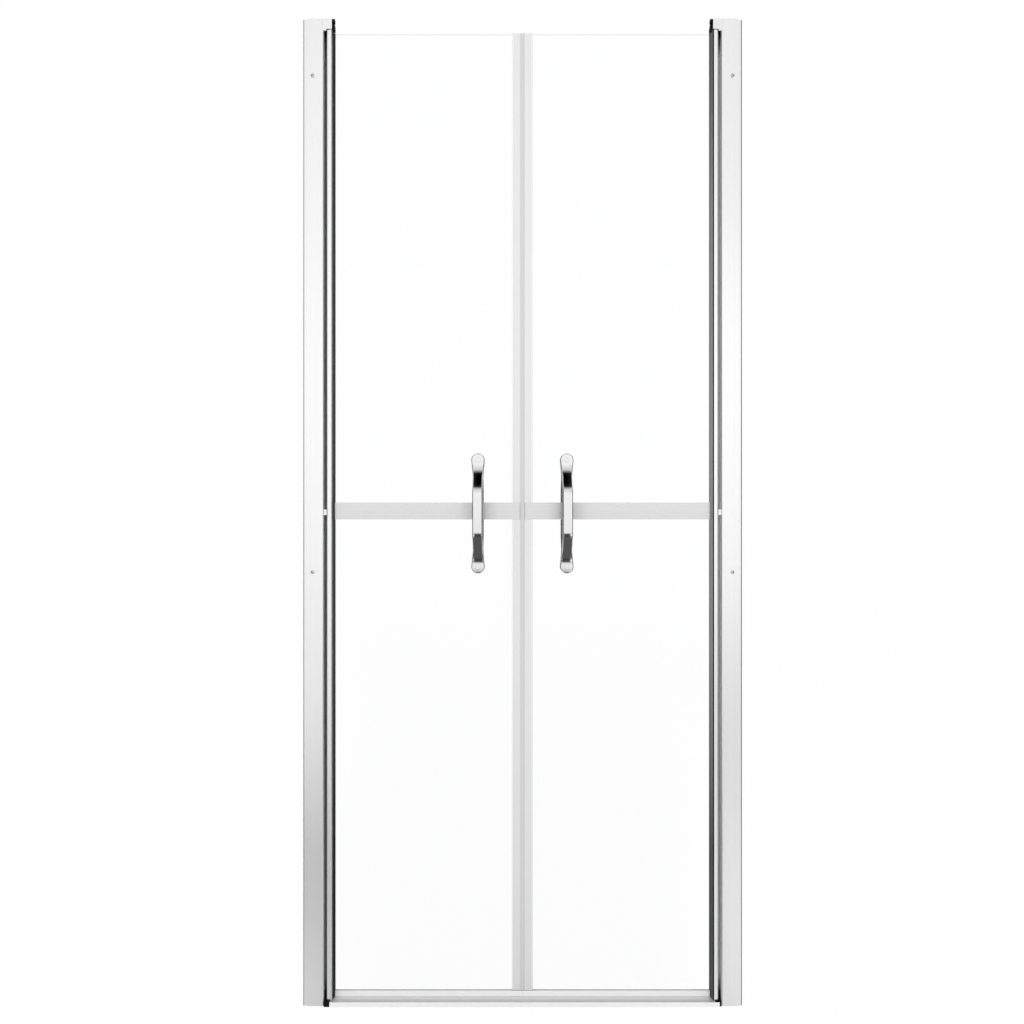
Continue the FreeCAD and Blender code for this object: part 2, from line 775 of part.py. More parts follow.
def closing_profile(side, name, low, high):
    """Ribbed profile on the panes' free edge, with a key groove for the magnetic seal."""
    body = new_body(f"{HANDS[side]}_{name}_closing_profile", side, d.pivot_x, low)
    start, end, half, slot = d.closing_start, d.closing_end, d.closing_depth / 2, d.glass_slot
    floor = d.glass_edge + d.profile_clearance
    key, key_floor = d.seal_key_width / 2 + d.key_clearance, end - d.seal_key_reach - d.key_clearance
    cut = half - d.rib_groove_depth
    ribs = []
    for number in range(RIB_GROOVES):
        near = start + d.rib_first + d.rib_pitch * number
        far = near + d.rib_groove_width
        ribs += [(near, half), (near, cut), (far, cut), (far, half)]
    outside = [(along, -depth) for along, depth in ribs]
    sketch = new_sketch(body, "XY_Plane")
    outline(
        sketch,
        [(start, -half)]
        + outside
        + [(end, -half), (end, -key), (key_floor, -key), (key_floor, key), (end, key), (end, half)]
        + ribs[::-1]
        + [(start, half), (start, slot), (floor, slot), (floor, -slot), (start, -slot)],
    )
    pad(sketch, high - low)


def closing_profiles(side):
    closing_profile(side, "lower", d.closing_bottom, d.rail_low)
    closing_profile(side, "upper", d.rail_high, d.glass_top)


def magnetic_seal(side, name, low, high):
    """Hollow seal on the closing edge; its key sits in the closing profile's groove."""
    body = new_body(f"{HANDS[side]}_{name}_magnetic_seal", side, d.pivot_x, low)
    start, end, half, key = d.closing_end, d.seal_end, d.seal_depth / 2, d.seal_key_width / 2
    key_end, wall = start - d.seal_key_reach, d.seal_sheet
    sketch = new_sketch(body, "XY_Plane")
    outline(
        sketch,
        [
            (start, -half),
            (end, -half),
            (end, half),
            (start, half),
            (start, key),
            (key_end, key),
            (key_end, -key),
            (start, -key),
        ],
    )
    rectangle(sketch, start + wall, end - wall, wall - half, half - wall)
    pad(sketch, high - low)


def magnetic_seals(side):
    magnetic_seal(side, "lower", d.closing_bottom, d.seal_joint_height)
    magnetic_seal(side, "upper", d.seal_joint_height + d.seal_joint_gap, d.glass_top)


def seal_magnets(side):
    """Magnet strips inside the two lengths of seal."""
    body = new_body(f"{HANDS[side]}_seal_magnets", side, d.pivot_x)
    inset = d.seal_sheet + d.magnet_fit
    low, high = d.closing_end + inset, d.seal_end - inset
    joint = d.seal_joint_height
    sketch = new_sketch(body, "XZ_Plane")
    rectangle(sketch, low, high, d.closing_bottom + d.magnet_end, joint - d.magnet_end)
    rectangle(sketch, low, high, joint + d.seal_joint_gap + d.magnet_end, d.glass_top - d.magnet_end)
    pad(sketch, d.seal_depth - inset * 2, both_ways=True)


def bottom_seal(side):
    """Channel under the lower pane, with two fins just above the threshold."""
    start = d.leaf_start
    body = new_body(f"{HANDS[side]}_bottom_seal", side, d.pivot_x - start)
    half, slot = d.glass_slot + d.bottom_seal_sheet, d.glass_slot
    low, fin = d.bottom_seal_low, d.threshold_height + d.bottom_seal_fin_gap
    inside, floor = half - d.bottom_seal_fin_width, d.glass_bottom - d.profile_clearance
    sketch = new_sketch(body, "YZ_Plane")
    outline(
        sketch,
        [
            (-half, fin),
            (-inside, fin),
            (-inside, low),
            (inside, low),
            (inside, fin),
            (half, fin),
            (half, d.bottom_seal_top),
            (slot, d.bottom_seal_top),
            (slot, floor),
            (-slot, floor),
            (-slot, d.bottom_seal_top),
            (-half, d.bottom_seal_top),
        ],
    )
    pad(sketch, d.pivot_x - d.bottom_seal_from_middle - start)


# Handles


def edges_along_x(shape, places):
    """Names of the straight edges along X that pass through the given (y, z) places."""
    found = []
    for number, edge in enumerate(shape.Edges, start=1):
        first, last = edge.Vertexes[0].Point, edge.Vertexes[-1].Point
        if math.hypot(first.y - last.y, first.z - last.z) > SAME_PLACE:
            continue
        if any(math.hypot(first.y - y, first.z - z) < SAME_PLACE for y, z in places):
            found.append(f"Edge{number}")
    return found


def fillet(feature, places, radius):
    """Rounds the edges along X at the given (y, z) sizes."""
    body = feature.getParentGeoFeatureGroup()
    doc.recompute()
    spots = [(y.value, z.value) for y, z in places]
    rounded = body.newObject("PartDesign::Fillet", f"{body.Name}_fillet")
    rounded.Base = (feature, edges_along_x(feature.Shape, spots))
    rounded.setExpression("Radius", radius.text)
    body.Tip = rounded
    return rounded


def handle(side, face, name):
    """Bow handle: flat pads on the glass, sloping legs and a flat grip with a narrow waist."""
    body = new_body(f"{HANDS[side]}_{name}_handle", side, d.handle_from_middle, d.handle_centre)
    base, crest = d.handle_base, d.handle_standoff
    pad_face, under = base + d.handle_pad_thickness, crest - d.handle_grip_thickness
    half = (d.handle_hole_spacing + d.handle_pad_width) / 2
    outer = [(base, half), (pad_face, half), (pad_face, d.handle_leg_outer), (crest, d.handle_grip_outer)]
    inner = [(under, d.handle_grip_inner), (base, d.handle_leg_inner)]
    outer_side = outer + [(y, -z) for y, z in reversed(outer)]
    inner_side = [(y, -z) for y, z in reversed(inner)] + inner
    corners = [(y * face, z) for y, z in outer_side + inner_side]
    profile = new_sketch(body, "YZ_Plane")
    outline(profile, corners)
    bow = pad(profile, d.handle_pad_width, both_ways=True)
    bends = [
        (pad_face, d.handle_leg_outer, d.handle_foot_bend),
        (under, d.handle_grip_inner, d.handle_grip_bend),
        (crest, d.handle_grip_outer, d.handle_crest_bend),
        (base, d.handle_leg_inner, d.handle_heel_bend),
    ]
    for depth, height, radius in bends:
        bow = fillet(bow, [(depth * face, height), (depth * face, -height)], radius)
    trim_to_front_outline(body)
    bore = new_sketch(body, "XZ_Plane")
    for height in (-d.handle_hole_spacing / 2, d.handle_hole_spacing / 2):
        circle(bore, 0, height, d.handle_stud_radius + d.handle_stud_clearance)
    depth = base + d.handle_stud_reach + d.handle_stud_end_gap
    pocket(bore, depth, reverse=face < 0)


def trim_to_front_outline(body):
    """Cuts the bow to its outline seen from the front: round pads and a narrow waist."""
    wide, narrow = d.handle_pad_width / 2, d.handle_waist_width / 2
    end, waist = d.handle_hole_spacing / 2, d.handle_waist_length / 2
    edge = wide + d.cut_overrun
    front = new_sketch(body, "XZ_Plane")
    rectangle(front, -edge, edge, -end - edge, end + edge)
    outline(
        front,
        [
            (wide, end, 0, end, 1),
            (-wide, end),
            (-narrow, waist),
            (-narrow, -waist),
            (-wide, -end, 0, -end, 1),
            (wide, -end),
            (narrow, -waist),
            (narrow, waist),
        ],
    )
    pocket(front, (d.handle_standoff + d.cut_overrun) * 2, both_ways=True)


def handle_studs(side):
    """Studs through the panes that join the outer handle to the inner one."""
    body = new_body(f"{HANDS[side]}_handle_studs", side, d.handle_from_middle, d.handle_centre)
    sketch = new_sketch(body, "XZ_Plane")
    for height in (-d.handle_hole_spacing / 2, d.handle_hole_spacing / 2):
        circle(sketch, 0, height, d.handle_stud_radius)
    pad(sketch, (d.handle_base + d.handle_stud_reach) * 2, both_ways=True)


def handle_washers(side):
    """Clear washers between the pads and the glass, on both faces."""
    body = new_body(f"{HANDS[side]}_handle_washers", side, d.handle_from_middle, d.handle_centre)
    rings = new_sketch(body, "XZ_Plane")
    gap = new_sketch(body, "XZ_Plane")
    for height in (-d.handle_hole_spacing / 2, d.handle_hole_spacing / 2):
        circle(rings, 0, height, d.handle_washer_radius)
        circle(rings, 0, height, d.handle_stud_radius + d.washer_clearance)
        circle(gap, 0, height, d.handle_washer_radius + d.cut_overrun)
    pad(rings, d.handle_base * 2, both_ways=True)
    pocket(gap, d.glass_thickness, both_ways=True)


# Threshold


def threshold():
    """Low extrusion on the tray; on the right its outer wall runs on over the bearing."""
    start = d.pivot_x - d.bottom_bearing_inner_edge - d.sliding_clearance
    end = start + d.threshold_cover_reach
    body = new_body("threshold", LEFT, start)
    half, top, wall, bend = d.threshold_depth / 2, d.threshold_height, d.threshold_sheet, d.threshold_round
    near, far = (d.threshold_rib_spacing - wall) / 2, (d.threshold_rib_spacing + wall) / 2
    under = top - wall
    sketch = new_sketch(body, "YZ_Plane")
    skirt = [(half, 0), (half - wall, 0), (half - wall, under)]
    right_ribs = skirt + [(far, under), (far, 0), (near, 0), (near, under)]
    left_ribs = [(-depth, height) for depth, height in reversed(right_ribs)]
    crown = [
        (-half, top - bend, bend - half, top - bend, -1),
        (bend - half, top),
        (half - bend, top, half - bend, top - bend, -1),
        (half, top - bend),
    ]
    outline(sketch, crown + right_ribs + left_ribs)
    pad(sketch, start + end)
    notch = new_sketch(body, "XY_Plane")
    edge, over = start * 2, d.cut_overrun
    rectangle(notch, edge, start + end + over, wall - half, half + over)
    pocket(notch, reverse=True)
    seats = new_sketch(body, "XY_Plane")
    inset = d.bearing_collar_edge - d.bottom_bearing_inner_edge
    seat = d.bearing_collar_width / 2 + d.sliding_clearance
    rectangle(seats, -over, inset, -seat, seat)
    rectangle(seats, edge - inset, edge + over, -seat, seat)
    pocket(seats, reverse=True)


def build_side(side):
    """Every piece of one side of the door."""
    wall_profile(side)
    jamb_profile(side)
    clamp_screws(side)
    clamp_nuts(side)
    top_cap(side)
    clips(side)
    top_bearing(side)
    bottom_bearing(side)
    journal_depth = d.bottom_bearing_height - d.bottom_bearing_floor - d.journal_end_gap
    pivot(side, "top", d.leaf_top, True, d.cap_bottom - d.leaf_top - d.journal_end_gap)
    pivot(side, "bottom", d.leaf_bottom, False, d.thrust_washer_thickness + journal_depth)
    thrust_washer(side)
    hinge_post(side)
    glazing_gasket(side)
    top_corner_block(side)
    panes(side)
    mid_rail(side)
    closing_profiles(side)
    magnetic_seals(side)
    seal_magnets(side)
    bottom_seal(side)
    handle(side, side, "front")
    handle(side, -side, "back")
    handle_studs(side)
    handle_washers(side)


def write_parts():
    """Checks every object and every sub-part, then writes one file for each sub-part."""
    doc.recompute()
    for item in doc.Objects:
        if {"Invalid", "Error"} & set(item.State):
            raise ValueError(f"{item.Label}: {item.State}")
    for label, item in parts.items():
        if item.Shape.isNull() or not item.Shape.isValid() or not item.Shape.Solids:
            raise ValueError(f"{label}: no valid solid")
    os.makedirs("parts", exist_ok=True)
    for label, item in parts.items():
        item.Shape.exportStep(f"parts/{label}.step")
        print(label, len(item.Shape.Solids), "solids,", round(item.Shape.Volume / 1000, 2), "cm3")
    print(len(parts), "sub-parts")


d = Dimensions(doc.addObject("Spreadsheet::Sheet", "Dims"))
doc.recompute()
for hand in HANDS:
    build_side(hand)
threshold()
write_parts()
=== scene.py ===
import json
import math

import bmesh
import bpy
from bpy.props import FloatProperty, FloatVectorProperty, PointerProperty
from mathutils import Matrix, Vector


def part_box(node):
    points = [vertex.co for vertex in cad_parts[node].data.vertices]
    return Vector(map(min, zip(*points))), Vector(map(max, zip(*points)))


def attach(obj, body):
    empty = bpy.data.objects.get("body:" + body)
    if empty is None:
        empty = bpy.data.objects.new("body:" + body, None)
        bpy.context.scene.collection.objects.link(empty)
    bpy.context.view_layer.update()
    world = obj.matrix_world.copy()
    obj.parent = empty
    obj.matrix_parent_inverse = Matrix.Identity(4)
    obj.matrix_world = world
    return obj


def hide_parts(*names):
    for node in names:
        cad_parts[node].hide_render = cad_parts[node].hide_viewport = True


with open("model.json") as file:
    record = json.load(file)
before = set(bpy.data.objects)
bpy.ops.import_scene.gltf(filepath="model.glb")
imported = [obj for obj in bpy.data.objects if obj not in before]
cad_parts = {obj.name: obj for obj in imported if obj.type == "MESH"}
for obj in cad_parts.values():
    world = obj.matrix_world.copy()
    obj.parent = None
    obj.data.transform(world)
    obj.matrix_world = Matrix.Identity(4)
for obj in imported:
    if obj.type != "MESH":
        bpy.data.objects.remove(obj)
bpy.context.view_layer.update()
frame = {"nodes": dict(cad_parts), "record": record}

bl_info = {
    "name": "Shower Door",
    "version": (1, 0, 0),
    "blender": (4, 5, 0),
    "location": "View3D > Sidebar > Shower Door",
    "description": "Finishes, handles, screws and studio for a two-leaf shower door",
    "category": "Object",
}

SIDES = ("left", "right")
FRONT = -1
BACK = 1

# Places on the pieces where a finish changes, in metres.
HANDLE_X = (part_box("right_front_handle")[0].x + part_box("right_front_handle")[1].x) / 2
PANE_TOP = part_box("left_upper_pane")[1].z
PANE_EDGE = 0.003
GROOVE_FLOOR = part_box("left_lower_closing_profile")[1].y - 0.0003
JAMB_LINE = 0.4078
LINE_HALF = 0.0006
SOCKET_HALF = 0.0188
WALL_EDGE = 0.4217
WALL_LINE = 0.4198
POST_BAND_EDGE = 0.3692
# How far from a handle the painted shade on the rail reaches, and from the middle the painted shade on the
# threshold's top.
HANDLE_SHADE_REACH = 0.05
TOP_SHADE_REACH = 0.025

# Tones of the aluminium, as shares of its colour: the satin's random tones, then painted shade in the jamb
# sockets and painted shade on the wall profiles' outer edges and on the lines beside them.
SATIN_TONES = (0.975, 1.015)
SOCKET_SHADE_TONES = {"left": 0.42, "right": 0.85}
WALL_EDGE_SHADE_TONES = {"left": 1.0, "right": 0.34}
WALL_LINE_SHADE_TONES = {"left": 0.75, "right": 0.95}

# Painted sheen on the gaskets, a painted reflection of the studio, by height from the floor (0) to twice a
# metre (1).
GASKET_SHEEN = [(0.0, 0.1), (0.15, 0.1), (0.2, 0.16), (0.34, 0.3), (0.58, 0.34), (0.78, 0.27), (0.91, 0.14)]

# Stretch of a grain that runs up a profile, or across the door.
UPRIGHT = (1, 1, 0.012)
LEVEL = (0.012, 1, 1)

# Mesh tolerances, in metres, and the crease past which an edge is sharp.
MERGE = 0.000001
CUT = 0.0000001
CREASE = math.radians(32)

# Steps of the round shapes.
PAD_STEPS = 28
RIM_STEPS = 5
BEND_STEPS = 14
LEG_STEPS = 4
COVER_STEPS = 40
SCREW_STEPS = 36
DOME_STEPS = 8
# Halvings in the search for a place along a handle.
HALVINGS = 40
# How soon a handle's bright face turns into its side wall, which is rougher and painted darker as painted
# shade.
WALL_TURN = 1.4
# Width left at the floor of a screw's cross and at its tip.
CROSS_TAPER = 0.8
TIP_TAPER = 0.7
# Half the floor's side, in metres, and how much of it shows as plain white.
FLOOR_HALF = 60
FLOOR_WHITE = 0.985


# Shader maths


class Field:
    """A value or colour socket that can be added, multiplied and compared."""

    def __init__(self, finish, socket):
        self.finish = finish
        self.socket = socket

    def _maths(self, operation, *values, clamp=False):
        settings = {"operation": operation, "use_clamp": clamp}
        return self.finish.add("ShaderNodeMath", settings, dict(enumerate(values)))

    def __add__(self, other):
        return self._maths("ADD", self, other)

    def __radd__(self, other):
        return self._maths("ADD", other, self)

    def __sub__(self, other):
        return self._maths("SUBTRACT", self, other)

    def __rsub__(self, other):
        return self._maths("SUBTRACT", other, self)

    def __mul__(self, other):
        return self._maths("MULTIPLY", self, other)

    def __rmul__(self, other):
        return self._maths("MULTIPLY", other, self)

    def __abs__(self):
        return self._maths("ABSOLUTE", self)

    def __lt__(self, other):
        return self._maths("LESS_THAN", self, other)

    def __gt__(self, other):
        return self._maths("GREATER_THAN", self, other)

    def higher_of(self, other):
        return self._maths("MAXIMUM", self, other)

    def clamped(self):
        return self._maths("ADD", self, 0.0, clamp=True)


class Finish:
    """The node tree of one material, or of the world, with short ways to add to it."""

    def __init__(self, owner):
        owner.use_nodes = True
        self.owner = owner
        self.tree = owner.node_tree
        self.tree.nodes.clear()

    def node(self, kind, settings=None, values=None):
        """A node of the given type with its settings, then the values or links of its sockets."""
        node = self.tree.nodes.new(kind)
        for name, value in (settings or {}).items():
            setattr(node, name, value)
        for name, value in (values or {}).items():
            if isinstance(value, Field):
                self.tree.links.new(value.socket, node.inputs[name])
            else:
                node.inputs[name].default_value = value
        return node

    def add(self, kind, settings=None, values=None, output=0):
        """A node as above, as one of its outputs."""
        return Field(self, self.node(kind, settings, values).outputs[output])

    def along(self, axis):
        """One coordinate of a point, in metres."""
        place = self.add("ShaderNodeTexCoord", output="Object")
        return self.add("ShaderNodeSeparateXYZ", values={0: place}, output=axis)

    def stretched(self, scale):
        """The point with each axis scaled, for a grain that runs one way."""
        place = self.add("ShaderNodeTexCoord", output="Object")
        return self.add("ShaderNodeMapping", values={"Vector": place, "Scale": scale})

    def noise(self, scale, stretch=(1, 1, 1), detail=3.0):
        """Fractal noise, from 0 to 1 and mostly near a half."""
        values = {"Vector": self.stretched(stretch), "Scale": scale, "Detail": detail}
        return self.add("ShaderNodeTexNoise", values=values)

    def blend(self, factor, first, second):
        """A colour between two colours."""
        values = {0: factor, 6: first, 7: second}
        return self.add("ShaderNodeMix", {"data_type": "RGBA", "clamp_factor": True}, values, output=2)

    def cloudy(self, colour, tones, scale, stretch, detail=4.0):
        """A colour that wanders between two shares of itself."""
        clouds = self.noise(scale, stretch, detail)
        return self.blend(clouds, opaque(colour, tones[0]), opaque(colour, tones[1]))

    def ramp(self, factor, stops):
        """A grey that follows the stops, each a position and a level."""
        node = self.node("ShaderNodeValToRGB", values={"Fac": factor})
        ramp = node.color_ramp
        ramp.elements[0].position, ramp.elements[-1].position = stops[0][0], stops[-1][0]
        for position, _ in stops[1:-1]:
            ramp.elements.new(position)
        for element, (_, level) in zip(ramp.elements, stops):
            element.color = (level, level, level, 1)
        return Field(self, node.outputs["Color"])

    def bump(self, height, depth, strength):
        """A normal that follows a height, whose full depth is in metres."""
        values = {"Height": height, "Distance": depth, "Strength": strength}
        return self.add("ShaderNodeBump", values=values)

    def surface(self, values):
        """Ends a material in one principled surface."""
        shader = self.add("ShaderNodeBsdfPrincipled", values=values)
        self.finish_with(shader)
        return self.owner

    def ray_kinds(self):
        """Whether a ray shows the surroundings, straight or through glass, and whether it mirrors them."""
        rays = self.node("ShaderNodeLightPath").outputs
        shown = Field(self, rays["Is Camera Ray"]).higher_of(Field(self, rays["Is Transmission Ray"]))
        return shown, Field(self, rays["Is Glossy Ray"]) * (1 - shown)

    def finish_with(self, shader):
        """Ends a material or the world in a shader."""
        owner = "World" if isinstance(self.owner, bpy.types.World) else "Material"
        self.node(f"ShaderNodeOutput{owner}", values={"Surface": shader})


def new_finish(name):
    """An empty finish with a material of its own."""
    return Finish(bpy.data.materials.new(name))


def opaque(colour, level=1.0):
    """A share of a colour, with full alpha."""
    return (colour[0] * level, colour[1] * level, colour[2] * level, 1)


# Finishes of this door


def satin_metal(finish, tone, metallic=0.82, shade_and_dulling=0.0):
    """Ends a finish as a satin upright extrusion, with fine lines along it."""
    lines = finish.noise(900.0, UPRIGHT, detail=2.0)
    return finish.surface(
        {
            "Base Color": tone,
            "Metallic": metallic,
            "Roughness": 0.19 + 0.06 * lines + shade_and_dulling,
            "Normal": finish.bump(lines, 0.00004, 0.35),
        }
    )


def jamb_aluminium(colours, side):
    """The jamb's extrusion, with a faint line down its face and painted shade in the socket, deeper on the
    left jamb.
    """
    finish = new_finish(f"{side}_jamb_aluminium")
    tone = finish.cloudy(colours.aluminium, SATIN_TONES, 7.0, (1, 1, 0.3))
    line = abs(abs(finish.along("X")) - JAMB_LINE) < LINE_HALF
    shade = finish.blend(line * 0.2, tone, opaque(colours.aluminium, 0.8))
    # Painted shade inside the socket, deeper on the left jamb.
    socket = abs(finish.along("Y")) < SOCKET_HALF
    return satin_metal(finish, finish.blend(socket, shade, opaque(colours.aluminium, SOCKET_SHADE_TONES[side])))


def wall_aluminium(colours, side):
    """The wall profile's extrusion: matt on its outer edge, with painted shade on that edge of the right
    profile and a faint painted shade line beside it, deeper on the left.
    """
    finish = new_finish(f"{side}_wall_aluminium")
    tone = finish.cloudy(colours.aluminium, SATIN_TONES, 9.0, (1, 1, 0.35))
    across = abs(finish.along("X"))
    # Painted shade line just inside the outer edge, deeper on the left profile.
    lined = finish.blend(across > WALL_LINE, tone, opaque(colours.aluminium, WALL_LINE_SHADE_TONES[side]))
    # Painted shade on the outer edge of the right profile; the edge is also less metallic.
    edge = across > WALL_EDGE
    edged = finish.blend(edge, lined, opaque(colours.aluminium, WALL_EDGE_SHADE_TONES[side]))
    return satin_metal(finish, edged, metallic=0.82 - 0.5 * edge)


def post_aluminium(colours):
    """The hinge posts' extrusion, with a black band, darker and rougher than the metal, along the right
    one's edge nearest the middle.
    """
    finish = new_finish("post_aluminium")
    tone = finish.cloudy(colours.aluminium, SATIN_TONES, 9.0, (1, 1, 0.35))
    across = finish.along("X")
    # A black band painted along the right post's edge nearest the middle.
    dark_band = (across > 0.0) * (across < POST_BAND_EDGE)
    return satin_metal(finish, finish.blend(dark_band, tone, opaque(colours.rubber, 3.0)), shade_and_dulling=0.4 * dark_band)


def cap_aluminium(colours):
    """The top caps' matt extrusion."""
    finish = new_finish("cap_aluminium")
    grain = finish.noise(1100.0, detail=3.0)
    tone = finish.blend(grain, opaque(colours.aluminium, 0.82), opaque(colours.aluminium, 0.86))
    return finish.surface(
        {
            "Base Color": tone,
            "Metallic": 0.3,
            "Roughness": 0.3 + 0.08 * grain,
            "Normal": finish.bump(grain, 0.00002, 0.3),
        }
    )


def rail_aluminium(colours):
    """The middle rail's darker anodising, with painted shade near the handles, where they shadow it."""
    finish = new_finish("rail_aluminium")
    lines = finish.noise(900.0, LEVEL, detail=2.0)
    tone = finish.cloudy(colours.rail, (0.99, 1.01), 14.0, (0.3, 1, 1))
    # Painted shade around each handle, for the shadow it casts on the rail.
    from_handle = abs(abs(finish.along("X")) - HANDLE_X)
    handle_shade = finish.ramp(from_handle * (1 / HANDLE_SHADE_REACH), [(0.18, 0.75), (0.75, 0.0)])
    shade = finish.blend(handle_shade, tone, opaque(colours.rail, 0.72))
    return finish.surface(
        {
            "Base Color": shade,
            "Metallic": 0.7,
            "Roughness": 0.26 + 0.015 * lines,
            "Normal": finish.bump(lines, 0.00001, 0.06),
        }
    )


def threshold_aluminium(colours):
    """The threshold's satin extrusion, with painted shade on its top that deepens from the middle towards
    its front and back edges.
    """
    finish = new_finish("threshold_aluminium")
    lines = finish.noise(900.0, LEVEL, detail=2.0)
    tone = finish.cloudy(colours.aluminium, (0.98, 1.01), 14.0, (0.3, 1, 1))
    # Painted shade on the top, deepening towards its front and back edges.
    from_middle = abs(finish.along("Y")) * (1 / TOP_SHADE_REACH)
    shade_and_dulling = finish.ramp(from_middle, [(0.1, 0.15), (0.5, 0.7), (0.88, 1.0), (0.94, 0.0)])
    shade = finish.blend(shade_and_dulling, tone, opaque(colours.aluminium, 0.5))
    return finish.surface(
        {
            "Base Color": shade,
            "Metallic": 0.15,
            "Roughness": 0.26 + 0.06 * lines,
            "Normal": finish.bump(lines, 0.00003, 0.35),
        }
    )


def ribbed_profile(colours):
    """Light grey satin profile, with painted shade in its grooves."""
    finish = new_finish("ribbed_profile")
    lines = finish.noise(700.0, (1, 1, 0.01), detail=2.0)
    tone = finish.cloudy(colours.profile, (0.97, 1.01), 12.0, (1, 1, 0.3), detail=3.0)
    # Painted shade on the groove floors.
    groove = abs(finish.along("Y")) < GROOVE_FLOOR
    shade = finish.blend(groove, tone, opaque(colours.profile, 0.88))
    return finish.surface(
        {
            "Base Color": shade,
            "Metallic": 0.12,
            "Roughness": 0.34 + 0.06 * lines,
            "Normal": finish.bump(lines, 0.00003, 0.3),
        }
    )


def milky_seal_plastic(colours):
    """The magnetic seals' soft grey plastic."""
    return soft_plastic("milky_seal_plastic", colours.seal)


def soft_plastic(name, colour):
    """Soft plastic, milky and slightly uneven."""
    finish = new_finish(name)
    tone = finish.cloudy(colour, (0.98, 1.0), 60.0, (1, 1, 0.2), detail=3.0)
    grain = finish.noise(1500.0, detail=2.0)
    return finish.surface(
        {
            "Base Color": tone,
            "Roughness": 0.38 + 0.1 * grain,
            "IOR": 1.53,
            "Normal": finish.bump(grain, 0.00002, 0.3),
        }
    )


def magnet_rubber(colours):
    """Dull black magnet rubber."""
    finish = new_finish("magnet_rubber")
    grain = finish.noise(1200.0, detail=3.0)
    tone = finish.blend(grain, opaque(colours.rubber, 1.5), opaque(colours.rubber, 3.0))
    return finish.surface({"Base Color": tone, "Roughness": 0.8, "Normal": finish.bump(grain, 0.00005, 0.4)})


def pane_glass(colours):
    """Clear toughened glass with the faintest change of tint, darker along its top edge."""
    finish = new_finish("pane_glass")
    cast = finish.noise(1.3, detail=1.0)
    tint = finish.blend(cast, opaque(colours.glass), opaque(colours.glass, 0.997))
    edge = finish.along("Z") > PANE_TOP - PANE_EDGE
    shade = finish.blend(edge, tint, opaque(colours.glass, 0.9))
    return finish.surface({"Base Color": shade, "Roughness": 0.0, "IOR": 1.3, "Transmission Weight": 1.0})


def gasket_rubber(colours):
    """Black rubber with a fine grain and a painted grey sheen, a painted reflection that changes with height
    and is stronger on the right leaf.
    """
    finish = new_finish("gasket_rubber")
    grain = finish.noise(900.0, detail=3.0)
    black = finish.cloudy(colours.rubber, (0.8, 1.4), 25.0, (1, 1, 0.25), detail=3.0)
    # Painted sheen: a painted reflection, by height, four times stronger on the right leaf.
    bloom = finish.ramp(finish.along("Z") * 0.5, GASKET_SHEEN) * (0.2 + 0.8 * (finish.along("X") > 0.0))
    tone = finish.blend(bloom, black, opaque(colours.bloom))
    return finish.surface(
        {
            "Base Color": tone,
            "Roughness": 0.6 + 0.15 * grain,
            "Specular IOR Level": 0.15,
            "Normal": finish.bump(grain, 0.00003, 0.4),
        }
    )


def bearing_plastic(colours):
    """Matt black moulded plastic with a fine spark texture."""
    finish = new_finish("bearing_plastic")
    cell_values = {"Vector": finish.stretched((1, 1, 1)), "Scale": 2200.0}
    cells = finish.add("ShaderNodeTexVoronoi", {"feature": "F1"}, cell_values)
    grain = finish.noise(400.0, detail=3.0)
    tone = finish.blend(grain, opaque(colours.rubber, 1.0), opaque(colours.rubber, 1.8))
    return finish.surface(
        {
            "Base Color": tone,
            "Roughness": 0.6 + 0.1 * grain,
            "Specular IOR Level": 0.08,
            "Normal": finish.bump(cells, 0.00003, 0.4),
        }
    )


def clip_plastic(colours):
    """Off-white moulded plastic."""
    finish = new_finish("clip_plastic")
    grain = finish.noise(800.0, detail=3.0)
    tone = finish.blend(grain, opaque(colours.clip, 0.96), opaque(colours.clip, 1.02))
    bump = finish.bump(grain, 0.00002, 0.3)
    return finish.surface({"Base Color": tone, "Roughness": 0.4 + 0.1 * grain, "Normal": bump})


def clear_washer_plastic(colours):
    """Clear soft plastic, slightly milky."""
    finish = new_finish("clear_washer_plastic")
    grain = finish.noise(600.0, detail=2.0)
    return finish.surface(
        {
            "Base Color": opaque(colours.glass, 0.98),
            "Roughness": 0.12 + 0.08 * grain,
            "IOR": 1.49,
            "Transmission Weight": 0.9,
            "Normal": finish.bump(grain, 0.00002, 0.2),
        }
    )


def plated_steel(colours):
    """Bright zinc-plated steel with turning marks."""
    finish = new_finish("plated_steel")
    marks = finish.noise(1800.0, (1, 0.2, 1), detail=2.0)
    tone = finish.blend(marks, opaque(colours.steel, 0.9), opaque(colours.steel, 1.05))
    return finish.surface(
        {
            "Base Color": tone,
            "Metallic": 1.0,
            "Roughness": 0.25 + 0.12 * marks,
            "Normal": finish.bump(marks, 0.00002, 0.4),
        }
    )


def polished_chrome(colours):
    """Mirror chrome with the faintest wear on it; on a handle's side walls and back it is rougher and
    painted darker, a painted shade for the dark surroundings they reflect.
    """
    finish = new_finish("polished_chrome")
    wear = finish.noise(220.0, (1, 1, 0.3), detail=5.0)
    wall = finish.add("ShaderNodeAttribute", {"attribute_name": "side_wall"}, output=2)
    face = finish.blend(wear, opaque(colours.chrome, 0.99), opaque(colours.chrome, 1.0))
    # Painted shade: the side walls and back are darkened in colour, besides being rougher.
    tone = finish.blend(wall, face, opaque(colours.chrome, 0.3))
    return finish.surface(
        {
            "Base Color": tone,
            "Metallic": 1.0,
            "Roughness": 0.025 + 0.03 * wear + 0.4 * wall,
            "Normal": finish.bump(wear, 0.000004, 0.2),
        }
    )


